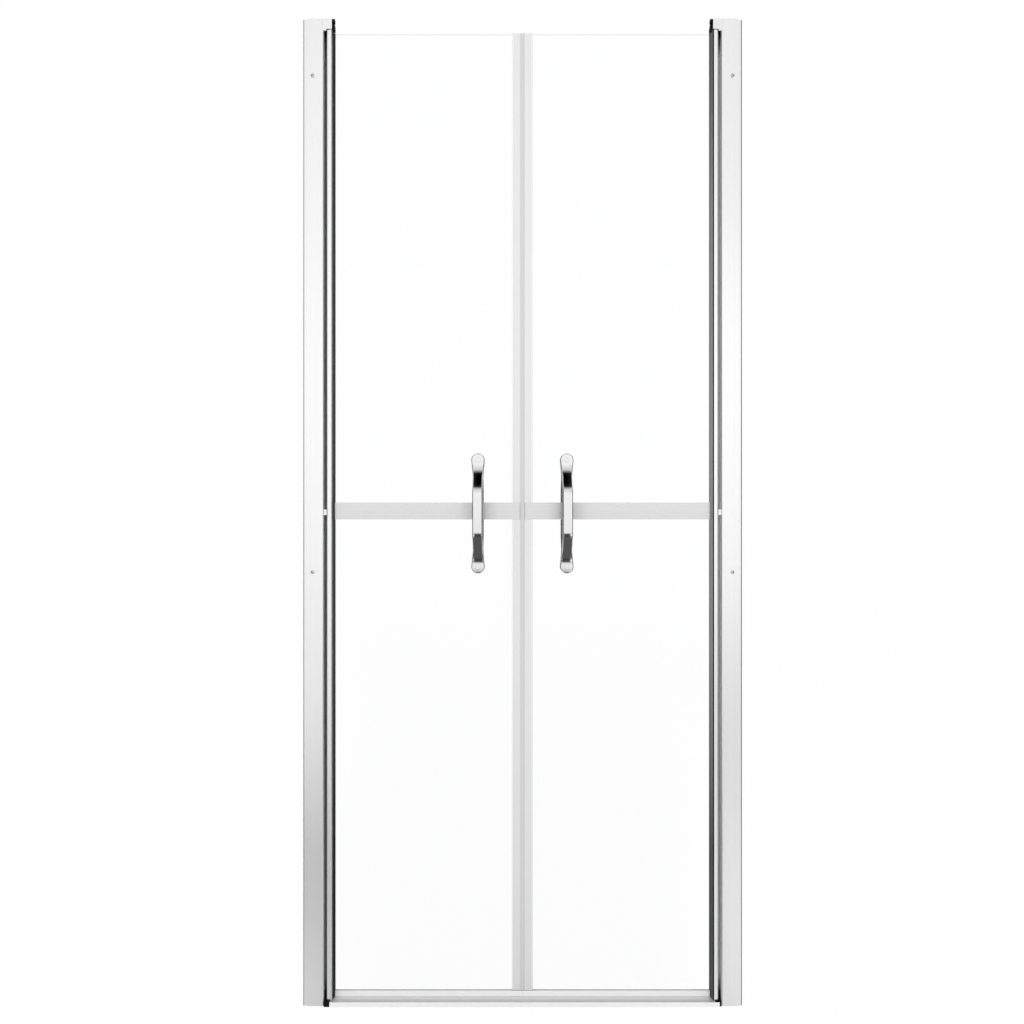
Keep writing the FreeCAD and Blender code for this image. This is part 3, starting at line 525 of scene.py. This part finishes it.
FINISHES = {
    "light_profile": ribbed_profile,
    "seal_plastic": milky_seal_plastic,
    "magnet_strip": magnet_rubber,
    "clear_glass": pane_glass,
    "black_rubber": gasket_rubber,
    "black_plastic": bearing_plastic,
    "white_plastic": clip_plastic,
    "clear_plastic": clear_washer_plastic,
    "steel": plated_steel,
    "bright_chrome": polished_chrome,
}
NODE_SLOTS = {entry["node"]: entry["material_slot"] for entry in frame["record"]["subparts"]}


def finish_for(slot, colours):
    """The material of a slot, made on first use."""
    make = FINISHES[slot]
    return bpy.data.materials.get(make.__name__) or make(colours)


def dress(node, material):
    """Gives a carried-over node its material."""
    piece = frame["nodes"][node]
    piece.data.materials.clear()
    piece.data.materials.append(material)


def dress_group(endings, colours):
    """Dresses the nodes of both sides whose names end in one of the words given."""
    for node, slot in NODE_SLOTS.items():
        if node.split("_", 1)[-1] in endings:
            dress(node, finish_for(slot, colours))


# Mesh helpers


def finished_piece(name, mesh, slot, body, node, colours):
    """Turns a bmesh into a piece that rides on a body and stands for a node."""
    bmesh.ops.remove_doubles(mesh, verts=mesh.verts[:], dist=MERGE)
    bmesh.ops.recalc_face_normals(mesh, faces=mesh.faces[:])
    for face in mesh.faces:
        face.smooth = True
    for edge in mesh.edges:
        edge.smooth = len(edge.link_faces) == 2 and edge.calc_face_angle() < CREASE
    data = bpy.data.meshes.new(name)
    mesh.to_mesh(data)
    mesh.free()
    piece = bpy.data.objects.new(name, data)
    bpy.context.scene.collection.objects.link(piece)
    data.materials.append(finish_for(slot, colours))
    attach(piece, body)
    if node:
        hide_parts(node)
    return piece


def edges_between(mesh, test):
    """The edges whose both ends pass a test."""
    return [edge for edge in mesh.edges if all(test(vert.co) for vert in edge.verts)]


def drawn_line(mesh, places):
    """New points joined by edges."""
    verts = [mesh.verts.new(place) for place in places]
    edges = [mesh.edges.new(pair) for pair in zip(verts, verts[1:])]
    return verts, edges


def cut_through(mesh, place, normal):
    """Cuts every face that a plane crosses, and keeps both sides."""
    everything = mesh.verts[:] + mesh.edges[:] + mesh.faces[:]
    bmesh.ops.bisect_plane(mesh, geom=everything, dist=CUT, plane_co=place, plane_no=normal)


def revolve(mesh, profile, steps):
    """Spins a profile, given as (radius, height), about Z."""
    verts, edges = drawn_line(mesh, [(radius, 0, height) for radius, height in profile])
    bmesh.ops.spin(
        mesh, geom=verts + edges, cent=(0, 0, 0), axis=(0, 0, 1), angle=math.tau, steps=steps, use_merge=True
    )
    bmesh.ops.remove_doubles(mesh, verts=mesh.verts[:], dist=MERGE)


def add_to(mesh, part):
    """Moves one bmesh into another."""
    data = bpy.data.meshes.new("part")
    part.to_mesh(data)
    part.free()
    mesh.from_mesh(data)
    bpy.data.meshes.remove(data)


class BentBar:
    """The middle line of a bow handle: straight runs joined by a tight bend and a wide one."""

    def __init__(self, sizes, box, sign):
        low, high = box
        self.sign = sign
        self.half_length = (high.z - low.z) / 2
        self.centre = Vector(((low.x + high.x) / 2, 0, (low.z + high.z) / 2))
        near, far = sorted((abs(low.y), abs(high.y)))
        self.pad_y = near + sizes.pad_thickness / 2
        self.grip_y = far - sizes.grip_thickness / 2
        self.pad_corner, self.grip_corner = sizes.leg_foot, sizes.leg_top
        rise, run = self.grip_y - self.pad_y, self.pad_corner - self.grip_corner
        self.slope = math.atan2(rise, run)
        self.crest, self.foot = sizes.crest_bend, sizes.foot_bend
        self.crest_trim, self.foot_trim = (
            radius * math.tan(self.slope / 2) for radius in (self.crest, self.foot)
        )
        self.leg = math.hypot(rise, run) - self.crest_trim - self.foot_trim
        grip_end = self.grip_corner - self.crest_trim
        leg_start = grip_end + self.crest * self.slope
        leg_end = leg_start + self.leg
        self.ends = [grip_end, leg_start, leg_end, leg_end + self.foot * self.slope]
        self.length = self.ends[-1] + self.half_length - self.pad_corner - self.foot_trim

    def at(self, along):
        """Height, depth and the outward lean of the bar, at a distance along it from its middle."""
        grip_end, leg_start, leg_end, pad_start = self.ends
        if along <= grip_end:
            return along, self.grip_y, 0.0
        if along <= leg_start:
            turn = (along - grip_end) / self.crest
            height = grip_end + self.crest * math.sin(turn)
            return height, self.grip_y - self.crest * (1 - math.cos(turn)), turn
        if along <= leg_end:
            run = self.crest_trim + along - leg_start
            height = self.grip_corner + run * math.cos(self.slope)
            return height, self.grip_y - run * math.sin(self.slope), self.slope
        if along <= pad_start:
            turn = (pad_start - along) / self.foot
            height = self.pad_corner + self.foot_trim - self.foot * math.sin(turn)
            return height, self.pad_y + self.foot * (1 - math.cos(turn)), turn
        return self.pad_corner + self.foot_trim + along - pad_start, self.pad_y, 0.0

    def place(self, point):
        """Where a point of the straight bar goes: x across, y through its thickness, z along."""
        height, depth, lean = self.at(abs(point.z))
        height += point.y * math.sin(lean)
        depth += point.y * math.cos(lean)
        if point.z < 0:
            height = -height
        return self.centre + Vector((point.x, depth * self.sign, height))

    def along_at(self, height):
        """The distance along the bar at which its middle line reaches a height."""
        low, high = 0.0, self.length
        for _ in range(HALVINGS):
            middle = (low + high) / 2
            low, high = (middle, high) if self.at(middle)[0] < height else (low, middle)
        return low


def straight_bar(bar, sizes):
    """The handle before it is bent: its front outline, raised, with rounded rims."""
    mesh = bmesh.new()
    wide, narrow = sizes.pad_width / 2, sizes.waist_width / 2
    hole, waist = bar.half_length - wide, sizes.waist_length / 2
    corners = []
    for height in (waist, bar.at(bar.ends[2])[0], bar.at(bar.ends[3])[0], hole):
        share = (height - waist) / (hole - waist)
        corners.append((narrow + (wide - narrow) * share, bar.along_at(height)))
    half = sizes.grip_thickness / 2
    right, _ = drawn_line(mesh, [(width, -half, along) for width, along in corners])
    pad_middle = (0, -half, corners[-1][1])
    bmesh.ops.spin(mesh, geom=[right[-1]], cent=pad_middle, axis=(0, -1, 0), angle=math.pi, steps=PAD_STEPS)
    drawn_line(mesh, [(-width, -half, along) for width, along in corners])
    bmesh.ops.remove_doubles(mesh, verts=mesh.verts[:], dist=MERGE)
    bmesh.ops.mirror(mesh, geom=mesh.verts[:] + mesh.edges[:], axis="Z", merge_dist=0)
    waist_verts = [vert for vert in mesh.verts if abs(abs(vert.co.z) - corners[0][1]) < MERGE]
    waist_verts.sort(key=lambda vert: vert.co.x)
    mesh.edges.new(waist_verts[:2])
    mesh.edges.new(waist_verts[2:])
    bmesh.ops.contextual_create(mesh, geom=mesh.edges[:])
    raised = bmesh.ops.extrude_face_region(mesh, geom=mesh.faces[:])
    moved = [item for item in raised["geom"] if isinstance(item, bmesh.types.BMVert)]
    bmesh.ops.translate(mesh, verts=moved, vec=(0, 2 * half, 0))
    bmesh.ops.recalc_face_normals(mesh, faces=mesh.faces[:])
    rims = edges_between(mesh, lambda place: place.y > half - MERGE)
    rims += edges_between(mesh, lambda place: place.y < MERGE - half)
    bmesh.ops.bevel(
        mesh,
        geom=rims,
        offset=sizes.handle_edge,
        segments=RIM_STEPS,
        profile=0.5,
        affect="EDGES",
        clamp_overlap=True,
        material=-1,
    )
    return mesh


def bow_handle(name, node, sign, sizes, colours):
    """A bow handle: the straight bar, cut into short lengths and bent along its middle line."""
    bar = BentBar(sizes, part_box(node), sign)
    mesh = straight_bar(bar, sizes)
    cuts = []
    for start, end in (bar.ends[0:2], bar.ends[2:4]):
        cuts += [start + (end - start) * step / BEND_STEPS for step in range(BEND_STEPS + 1)]
    cuts += [bar.ends[1] + bar.leg * step / LEG_STEPS for step in range(1, LEG_STEPS)]
    for along in cuts + [-cut for cut in cuts]:
        cut_through(mesh, (0, 0, along), (0, 0, 1))
    mesh.normal_update()
    # Marks the side walls, which the chrome makes rougher and darkens as painted shade.
    side_wall = mesh.verts.layers.float.new("side_wall")
    thin = sizes.pad_thickness / sizes.grip_thickness
    for vert in mesh.verts:
        vert[side_wall] = min(max(1 - WALL_TURN * vert.normal.y, 0), 1)
        reach = max(abs(vert.co.z) - bar.ends[1], 0) / (bar.ends[3] - bar.ends[1])
        vert.co.y *= 1 + (thin - 1) * min(reach, 1)
        vert.co = bar.place(vert.co)
    side = name.split("_")[0]
    return finished_piece(name, mesh, "bright_chrome", f"{side}_leaf", node, colours)


def pad_covers(name, node, sign, sizes, colours):
    """Small round covers over the fixing screws, one on each pad of a handle."""
    low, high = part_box(node)
    wide = sizes.pad_width / 2
    seat = sign * (min(abs(low.y), abs(high.y)) + sizes.pad_thickness)
    radius, rise = sizes.cover_radius, sizes.cover_rise
    rim = [(0, -rise), (radius, -rise), (radius, rise * 0.4)]
    dome = [(radius - rise * 0.6, rise), (0, rise * 1.15)]
    turn = Matrix.Rotation(-sign * math.pi / 2, 4, "X")
    mesh = bmesh.new()
    for height in (low.z + wide, high.z - wide):
        part = bmesh.new()
        revolve(part, rim + dome, COVER_STEPS)
        shift = Matrix.Translation(((low.x + high.x) / 2, seat, height))
        bmesh.ops.transform(part, matrix=shift @ turn, verts=part.verts[:])
        add_to(mesh, part)
    side = name.split("_")[0]
    return finished_piece(name, mesh, "bright_chrome", f"{side}_leaf", None, colours)


def screw_profile(sizes, head, length):
    """Half outline of a dome-headed screw, from the top of its head to its tip."""
    rim, crown = sizes.head_rim, sizes.head_crown
    bulge = (head * head + (crown - rim) ** 2) / (2 * (crown - rim))
    widest = math.asin(head / bulge)
    turns = [widest * step / DOME_STEPS for step in range(DOME_STEPS + 1)]
    dome = [(bulge * math.sin(turn), crown - bulge * (1 - math.cos(turn))) for turn in turns]
    shank = sizes.shank_radius
    tip = [(shank, shank - length), (shank * TIP_TAPER, -length), (0, -length)]
    return dome + [(head, 0), (shank, 0)] + tip


def cut_cross(mesh, sizes):
    """Sinks a cross into the head, tapering a little towards its floor."""
    long, narrow = sizes.recess_length / 2, sizes.recess_width / 2
    for reach in (long, narrow):
        for axis in (Vector((1, 0, 0)), Vector((0, 1, 0))):
            for sign in (-1, 1):
                cut_through(mesh, axis * reach * sign, axis)
    cross = []
    for face in mesh.faces:
        middle = face.calc_center_median()
        near, far = sorted((abs(middle.x), abs(middle.y)))
        if middle.z > sizes.head_rim and near < narrow and far < long:
            cross.append(face)
    sunk = bmesh.ops.extrude_face_region(mesh, geom=cross)
    bmesh.ops.delete(mesh, geom=cross, context="FACES_ONLY")
    floor = sizes.head_crown - sizes.recess_depth
    for item in sunk["geom"]:
        if isinstance(item, bmesh.types.BMVert):
            item.co = (item.co.x * CROSS_TAPER, item.co.y * CROSS_TAPER, floor)


def cross_headed_screws(name, node, sizes, colours):
    """Dome-headed screws with a cross in each head, in place of the plain ones."""
    low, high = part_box(node)
    head = (high.x - low.x) / 2
    seat = low.y + sizes.head_crown
    turn = Matrix.Rotation(math.pi / 2, 4, "X")
    mesh = bmesh.new()
    for height in (low.z + head, high.z - head):
        part = bmesh.new()
        revolve(part, screw_profile(sizes, head, high.y - seat), SCREW_STEPS)
        cut_cross(part, sizes)
        shift = Matrix.Translation(((low.x + high.x) / 2, seat, height))
        bmesh.ops.transform(part, matrix=shift @ turn, verts=part.verts[:])
        add_to(mesh, part)
    return finished_piece(name, mesh, "steel", "frame", node, colours)


# Properties


class DoorSizes(bpy.types.PropertyGroup):
    """Sizes of the pieces that this file shapes."""

    pad_width: FloatProperty(
        name="Pad width", description="Width of a handle's pads", default=0.026, unit="LENGTH"
    )
    waist_width: FloatProperty(
        name="Waist width", description="Width of the grip", default=0.0195, unit="LENGTH"
    )
    waist_length: FloatProperty(
        name="Waist length", description="Length of the narrow grip", default=0.14, unit="LENGTH"
    )
    pad_thickness: FloatProperty(
        name="Pad thickness", description="Thickness of a pad", default=0.007, unit="LENGTH"
    )
    grip_thickness: FloatProperty(
        name="Grip thickness", description="Thickness of the grip", default=0.008, unit="LENGTH"
    )
    leg_foot: FloatProperty(
        name="Leg foot",
        description="Where the leg meets the pad, from the middle",
        default=0.0846,
        unit="LENGTH",
    )
    leg_top: FloatProperty(
        name="Leg top",
        description="Where the leg meets the grip, from the middle",
        default=0.0434,
        unit="LENGTH",
    )
    crest_bend: FloatProperty(
        name="Crest bend", description="Radius of the bend from grip to leg", default=0.021, unit="LENGTH"
    )
    foot_bend: FloatProperty(
        name="Foot bend", description="Radius of the bend from leg to pad", default=0.0355, unit="LENGTH"
    )
    handle_edge: FloatProperty(
        name="Handle edge", description="Rounding of the rims", default=0.0024, unit="LENGTH"
    )
    cover_radius: FloatProperty(
        name="Cover radius", description="Radius of a pad cover", default=0.005, unit="LENGTH"
    )
    cover_rise: FloatProperty(
        name="Cover rise", description="Height of a pad cover", default=0.0004, unit="LENGTH"
    )
    head_rim: FloatProperty(
        name="Head rim", description="Height of a screw head's rim", default=0.0011, unit="LENGTH"
    )
    head_crown: FloatProperty(
        name="Head crown", description="Height of a screw's head", default=0.002, unit="LENGTH"
    )
    shank_radius: FloatProperty(
        name="Shank", description="Radius of a screw's shank", default=0.002, unit="LENGTH"
    )
    recess_length: FloatProperty(
        name="Recess length", description="Length of a screw's cross", default=0.0042, unit="LENGTH"
    )
    recess_width: FloatProperty(
        name="Recess width", description="Width of a screw's cross", default=0.001, unit="LENGTH"
    )
    recess_depth: FloatProperty(
        name="Recess depth", description="Depth of a screw's cross", default=0.0013, unit="LENGTH"
    )


class DoorColours(bpy.types.PropertyGroup):
    """Colours of the finishes, in linear light."""

    aluminium: FloatVectorProperty(
        name="Aluminium",
        description="Anodised profiles",
        default=(0.96, 0.96, 0.96),
        subtype="COLOR",
        min=0,
        max=1,
    )
    profile: FloatVectorProperty(
        name="Closing profile",
        description="Ribbed profiles",
        default=(0.82, 0.82, 0.82),
        subtype="COLOR",
        min=0,
        max=1,
    )
    seal: FloatVectorProperty(
        name="Seals",
        description="Magnetic seals",
        default=(0.6, 0.6, 0.6),
        subtype="COLOR",
        min=0,
        max=1,
    )
    bottom_seal: FloatVectorProperty(
        name="Bottom seals",
        description="Seals under the leaves",
        default=(0.92, 0.92, 0.92),
        subtype="COLOR",
        min=0,
        max=1,
    )
    rail: FloatVectorProperty(
        name="Rail",
        description="Middle rails",
        default=(0.76, 0.76, 0.76),
        subtype="COLOR",
        min=0,
        max=1,
    )
    # Colour of the painted sheen on the gaskets.
    bloom: FloatVectorProperty(
        name="Sheen",
        description="Bloom on the rubber",
        default=(1.0, 1.0, 1.0),
        subtype="COLOR",
        min=0,
        max=1,
    )
    rubber: FloatVectorProperty(
        name="Rubber",
        description="Gasket and bearings",
        default=(0.006, 0.006, 0.006),
        subtype="COLOR",
        min=0,
        max=1,
    )
    clip: FloatVectorProperty(
        name="Clips",
        description="Clips and washers",
        default=(0.8, 0.8, 0.79),
        subtype="COLOR",
        min=0,
        max=1,
    )
    glass: FloatVectorProperty(
        name="Glass",
        description="Tint of the panes",
        default=(0.99, 0.995, 0.993),
        subtype="COLOR",
        min=0,
        max=1,
    )
    steel: FloatVectorProperty(
        name="Steel",
        description="Screws and pivots",
        default=(0.82, 0.82, 0.82),
        subtype="COLOR",
        min=0,
        max=1,
    )
    chrome: FloatVectorProperty(
        name="Chrome",
        description="Handles",
        default=(0.86, 0.86, 0.86),
        subtype="COLOR",
        min=0,
        max=1,
    )


class DoorStage(bpy.types.PropertyGroup):
    """Where the camera stands and how bright the studio is."""

    camera_place: FloatVectorProperty(
        name="Camera",
        description="Place of the camera",
        default=(-0.0202, -1.821, 0.9505),
        subtype="TRANSLATION",
    )
    camera_lens: FloatProperty(name="Lens", description="Focal length", default=32.9, unit="CAMERA")
    ambient: FloatProperty(name="Ambient", description="Soft light from all round", default=0.85, min=0)
    key: FloatProperty(name="Key", description="Power of the front softboxes, in watts", default=18.0, min=0)
    backdrop: FloatProperty(
        name="Backdrop", description="Brightness of the white surround", default=1.0, min=0
    )
    shine: FloatProperty(name="Shine", description="Brightness of what metal reflects", default=1.07, min=0)


class ShowerDoor(bpy.types.PropertyGroup):
    """All settings of the door."""

    sizes: PointerProperty(type=DoorSizes)
    colours: PointerProperty(type=DoorColours)
    stage: PointerProperty(type=DoorStage)


# Operators


class SHOWERDOOR_OT_profiles(bpy.types.Operator):
    """Finish the aluminium profiles, caps, rails and the threshold"""

    bl_idname = "shower_door.profiles"
    bl_label = "Profiles"

    def execute(self, context):
        colours = context.scene.shower_door.colours
        post, cap, rail = post_aluminium(colours), cap_aluminium(colours), rail_aluminium(colours)
        for side in SIDES:
            dress(f"{side}_wall_profile", wall_aluminium(colours, side))
            dress(f"{side}_jamb_profile", jamb_aluminium(colours, side))
            dress(f"{side}_hinge_post", post)
            dress(f"{side}_top_cap", cap)
            dress(f"{side}_mid_rail", rail)
        dress("threshold", threshold_aluminium(colours))
        return {"FINISHED"}


class SHOWERDOOR_OT_panes(bpy.types.Operator):
    """Finish the panes and their gaskets"""

    bl_idname = "shower_door.panes"
    bl_label = "Panes"

    def execute(self, context):
        dress_group(("upper_pane", "lower_pane", "glazing_gasket"), context.scene.shower_door.colours)
        return {"FINISHED"}


class SHOWERDOOR_OT_seals(bpy.types.Operator):
    """Finish the closing profiles, the magnetic seals and the bottom seals"""

    bl_idname = "shower_door.seals"
    bl_label = "Seals"

    def execute(self, context):
        colours = context.scene.shower_door.colours
        for half in ("lower", "upper"):
            dress_group((f"{half}_closing_profile", f"{half}_magnetic_seal"), colours)
        dress_group(("seal_magnets",), colours)
        under_leaf = soft_plastic("bottom_seal_plastic", colours.bottom_seal)
        for side in SIDES:
            dress(f"{side}_bottom_seal", under_leaf)
        return {"FINISHED"}


class SHOWERDOOR_OT_bearings(bpy.types.Operator):
    """Finish the bearings, pivots, washers and clips"""

    bl_idname = "shower_door.bearings"
    bl_label = "Bearings"

    def execute(self, context):
        names = ("top_bearing", "bottom_bearing", "top_corner_block", "top_pivot", "bottom_pivot")
        dress_group(names + ("thrust_washer", "groove_clips"), context.scene.shower_door.colours)
        return {"FINISHED"}


class SHOWERDOOR_OT_handles(bpy.types.Operator):
    """Make the bow handles and finish their studs and washers"""

    bl_idname = "shower_door.handles"
    bl_label = "Handles"

    def execute(self, context):
        door = context.scene.shower_door
        for side in SIDES:
            for face, sign in (("front", FRONT), ("back", BACK)):
                node = f"{side}_{face}_handle"
                bow_handle(f"{node}_bow", node, sign, door.sizes, door.colours)
                pad_covers(f"{node}_pad_covers", node, sign, door.sizes, door.colours)
        dress_group(("handle_studs", "handle_washers"), door.colours)
        return {"FINISHED"}


class SHOWERDOOR_OT_screws(bpy.types.Operator):
    """Make the cross-headed clamp screws and finish their nuts"""

    bl_idname = "shower_door.screws"
    bl_label = "Screws"

    def execute(self, context):
        door = context.scene.shower_door
        for side in SIDES:
            node = f"{side}_clamp_screws"
            cross_headed_screws(f"{node}_cross", node, door.sizes, door.colours)
        dress_group(("clamp_nuts",), door.colours)
        return {"FINISHED"}


# Brightness of the studio in front of the door, from straight below (0) to overhead (1).
LEFT_STUDIO = [
    (0.0, 0.05),
    (0.2, 0.4),
    (0.25, 1.0),
    (0.275, 1.0),
    (0.295, 0.6),
    (0.315, 0.34),
    (0.334, 0.04),
    (0.358, 0.78),
    (0.4, 0.88),
    (0.455, 0.84),
    (0.56, 0.98),
    (0.61, 0.9),
    (0.655, 0.85),
    (0.715, 0.755),
    (0.914, 0.68),
    (0.96, 0.3),
    (0.985, 0.0),
]
RIGHT_STUDIO = [
    (0.0, 0.05),
    (0.2, 0.35),
    (0.25, 0.9),
    (0.28, 0.98),
    (0.292, 0.98),
    (0.312, 1.0),
    (0.334, 0.9),
    (0.36, 0.66),
    (0.41, 0.64),
    (0.455, 0.89),
    (0.54, 0.99),
    (0.61, 0.99),
    (0.655, 0.73),
    (0.715, 0.76),
    (0.914, 0.68),
    (0.96, 0.3),
    (0.985, 0.0),
]
CENTRE_STUDIO = [
    (0.0, 0.09),
    (0.15, 0.09),
    (0.2, 0.05),
    (0.3, 0.06),
    (0.36, 0.16),
    (0.41, 0.55),
    (0.45, 0.85),
    (0.56, 0.98),
    (0.67, 0.9),
    (0.883, 0.67),
    (0.9655, 0.18),
    (0.994, 0.0),
]


def studio_world(stage):
    """White surround, soft light from all round, and what polished metal reflects."""
    world = bpy.data.worlds.new("studio")
    bpy.context.scene.world = world
    finish = Finish(world)
    shown, glossy = finish.ray_kinds()
    direction = finish.add("ShaderNodeTexCoord", output="Generated")
    parts = finish.node("ShaderNodeSeparateXYZ", values={0: direction}).outputs
    sideways, depth, height = (Field(finish, parts[axis]) for axis in "XYZ")
    up = height * 0.5 + 0.5
    left, right = finish.ramp(up, LEFT_STUDIO), finish.ramp(up, RIGHT_STUDIO)
    # One side's studio turns into the other's between 0.2 to the left and 0.2 to the right, and
    # a strip in the middle, which fades out between 0.13 and 0.18, has the centre's.
    sides = left + (right - left) * (sideways * 2.5 + 0.5).clamped()
    centre = finish.ramp(up, CENTRE_STUDIO)
    front = centre + (sides - centre) * (abs(sideways) * 20.0 - 2.6).clamped()
    panel = finish.ramp(abs(sideways), [(0.45, 1.0), (0.75, 0.04)]) * (depth < 0.05)
    behind = finish.ramp(depth, [(0.35, 0.0), (0.8, 1.0)])
    ground = finish.ramp(height * -1.0, [(0.8, 0.0), (0.95, 0.09)])
    mirrored = (front * panel * stage.shine).higher_of(behind).higher_of(ground)
    soft = stage.ambient + (stage.backdrop - stage.ambient) * shown
    level = soft * (1 - glossy) + mirrored * glossy
    background = finish.add("ShaderNodeBackground", values={"Color": (1, 1, 1, 1), "Strength": level})
    finish.finish_with(background)


def studio_floor(stage):
    """Pale floor that keeps a faint shadow and lies outside the metal's reflections."""
    mesh = bmesh.new()
    bmesh.ops.create_grid(mesh, x_segments=1, y_segments=1, size=FLOOR_HALF)
    data = bpy.data.meshes.new("floor")
    mesh.to_mesh(data)
    mesh.free()
    floor = bpy.data.objects.new("floor", data)
    bpy.context.scene.collection.objects.link(floor)
    finish = new_finish("pale_floor")
    shown, glossy = finish.ray_kinds()
    plain = finish.add("ShaderNodeBsdfDiffuse", values={"Color": (0.9, 0.9, 0.9, 1)})
    white = finish.add("ShaderNodeEmission", values={"Color": (1, 1, 1, 1), "Strength": stage.backdrop})
    clear = finish.add("ShaderNodeBsdfTransparent")
    pale = finish.add("ShaderNodeMixShader", values={0: shown * FLOOR_WHITE, 1: plain, 2: white})
    finish.finish_with(finish.add("ShaderNodeMixShader", values={0: glossy, 1: pale, 2: clear}))
    data.materials.append(finish.owner)


def softbox(name, place, target, size, power):
    """A square lamp that neither metal nor glass shows."""
    lamp = bpy.data.lights.new(name, "AREA")
    lamp.shape = "SQUARE"
    lamp.size = size
    lamp.energy = power
    box = bpy.data.objects.new(name, lamp)
    bpy.context.scene.collection.objects.link(box)
    box.location = place
    box.rotation_euler = (Vector(target) - Vector(place)).to_track_quat("-Z", "Y").to_euler()
    box.visible_glossy = False
    box.visible_transmission = False


class SHOWERDOOR_OT_stage(bpy.types.Operator):
    """Make the floor, the soft light and the camera"""

    bl_idname = "shower_door.stage"
    bl_label = "Stage"

    def execute(self, context):
        stage = context.scene.shower_door.stage
        studio_world(stage)
        studio_floor(stage)
        softbox("key_softbox", (-1.5, -2.4, 2.3), (0, 0, 1.0), 1.6, stage.key)
        softbox("fill_softbox", (1.7, -2.4, 1.6), (0, 0, 0.9), 1.6, stage.key * 0.8)
        softbox("back_softbox", (0.3, 2.6, 2.2), (0, 0, 0.9), 1.8, stage.key * 0.7)
        camera = bpy.data.cameras.new("camera")
        camera.lens = stage.camera_lens
        camera.sensor_width = 36
        camera.clip_start, camera.clip_end = 0.01, 100
        holder = bpy.data.objects.new("camera", camera)
        context.scene.collection.objects.link(holder)
        holder.location = stage.camera_place
        holder.rotation_euler = (math.pi / 2, 0, 0)
        context.scene.camera = holder
        context.scene.view_settings.view_transform = "Standard"
        return {"FINISHED"}


PIECES = ("profiles", "panes", "seals", "bearings", "handles", "screws", "stage")


class SHOWERDOOR_PT_panel(bpy.types.Panel):
    """Lists the door's pieces and its settings"""

    bl_idname = "SHOWERDOOR_PT_panel"
    bl_label = "Shower Door"
    bl_space_type = "VIEW_3D"
    bl_region_type = "UI"
    bl_category = "Shower Door"

    def draw(self, context):
        door = context.scene.shower_door
        for piece in PIECES:
            self.layout.operator(f"shower_door.{piece}")
        for group in (door.sizes, door.colours, door.stage):
            for name in group.bl_rna.properties.keys():
                if name not in ("rna_type", "name"):
                    self.layout.prop(group, name)


CLASSES = (
    DoorSizes,
    DoorColours,
    DoorStage,
    ShowerDoor,
    SHOWERDOOR_OT_profiles,
    SHOWERDOOR_OT_panes,
    SHOWERDOOR_OT_seals,
    SHOWERDOOR_OT_bearings,
    SHOWERDOOR_OT_handles,
    SHOWERDOOR_OT_screws,
    SHOWERDOOR_OT_stage,
    SHOWERDOOR_PT_panel,
)


def register():
    for item in CLASSES:
        bpy.utils.register_class(item)
    bpy.types.Scene.shower_door = PointerProperty(type=ShowerDoor)


def unregister():
    del bpy.types.Scene.shower_door
    for item in reversed(CLASSES):
        bpy.utils.unregister_class(item)


def main():
    register()
    for piece in PIECES:
        getattr(bpy.ops.shower_door, piece)()


if __name__ == "__main__":
    main()
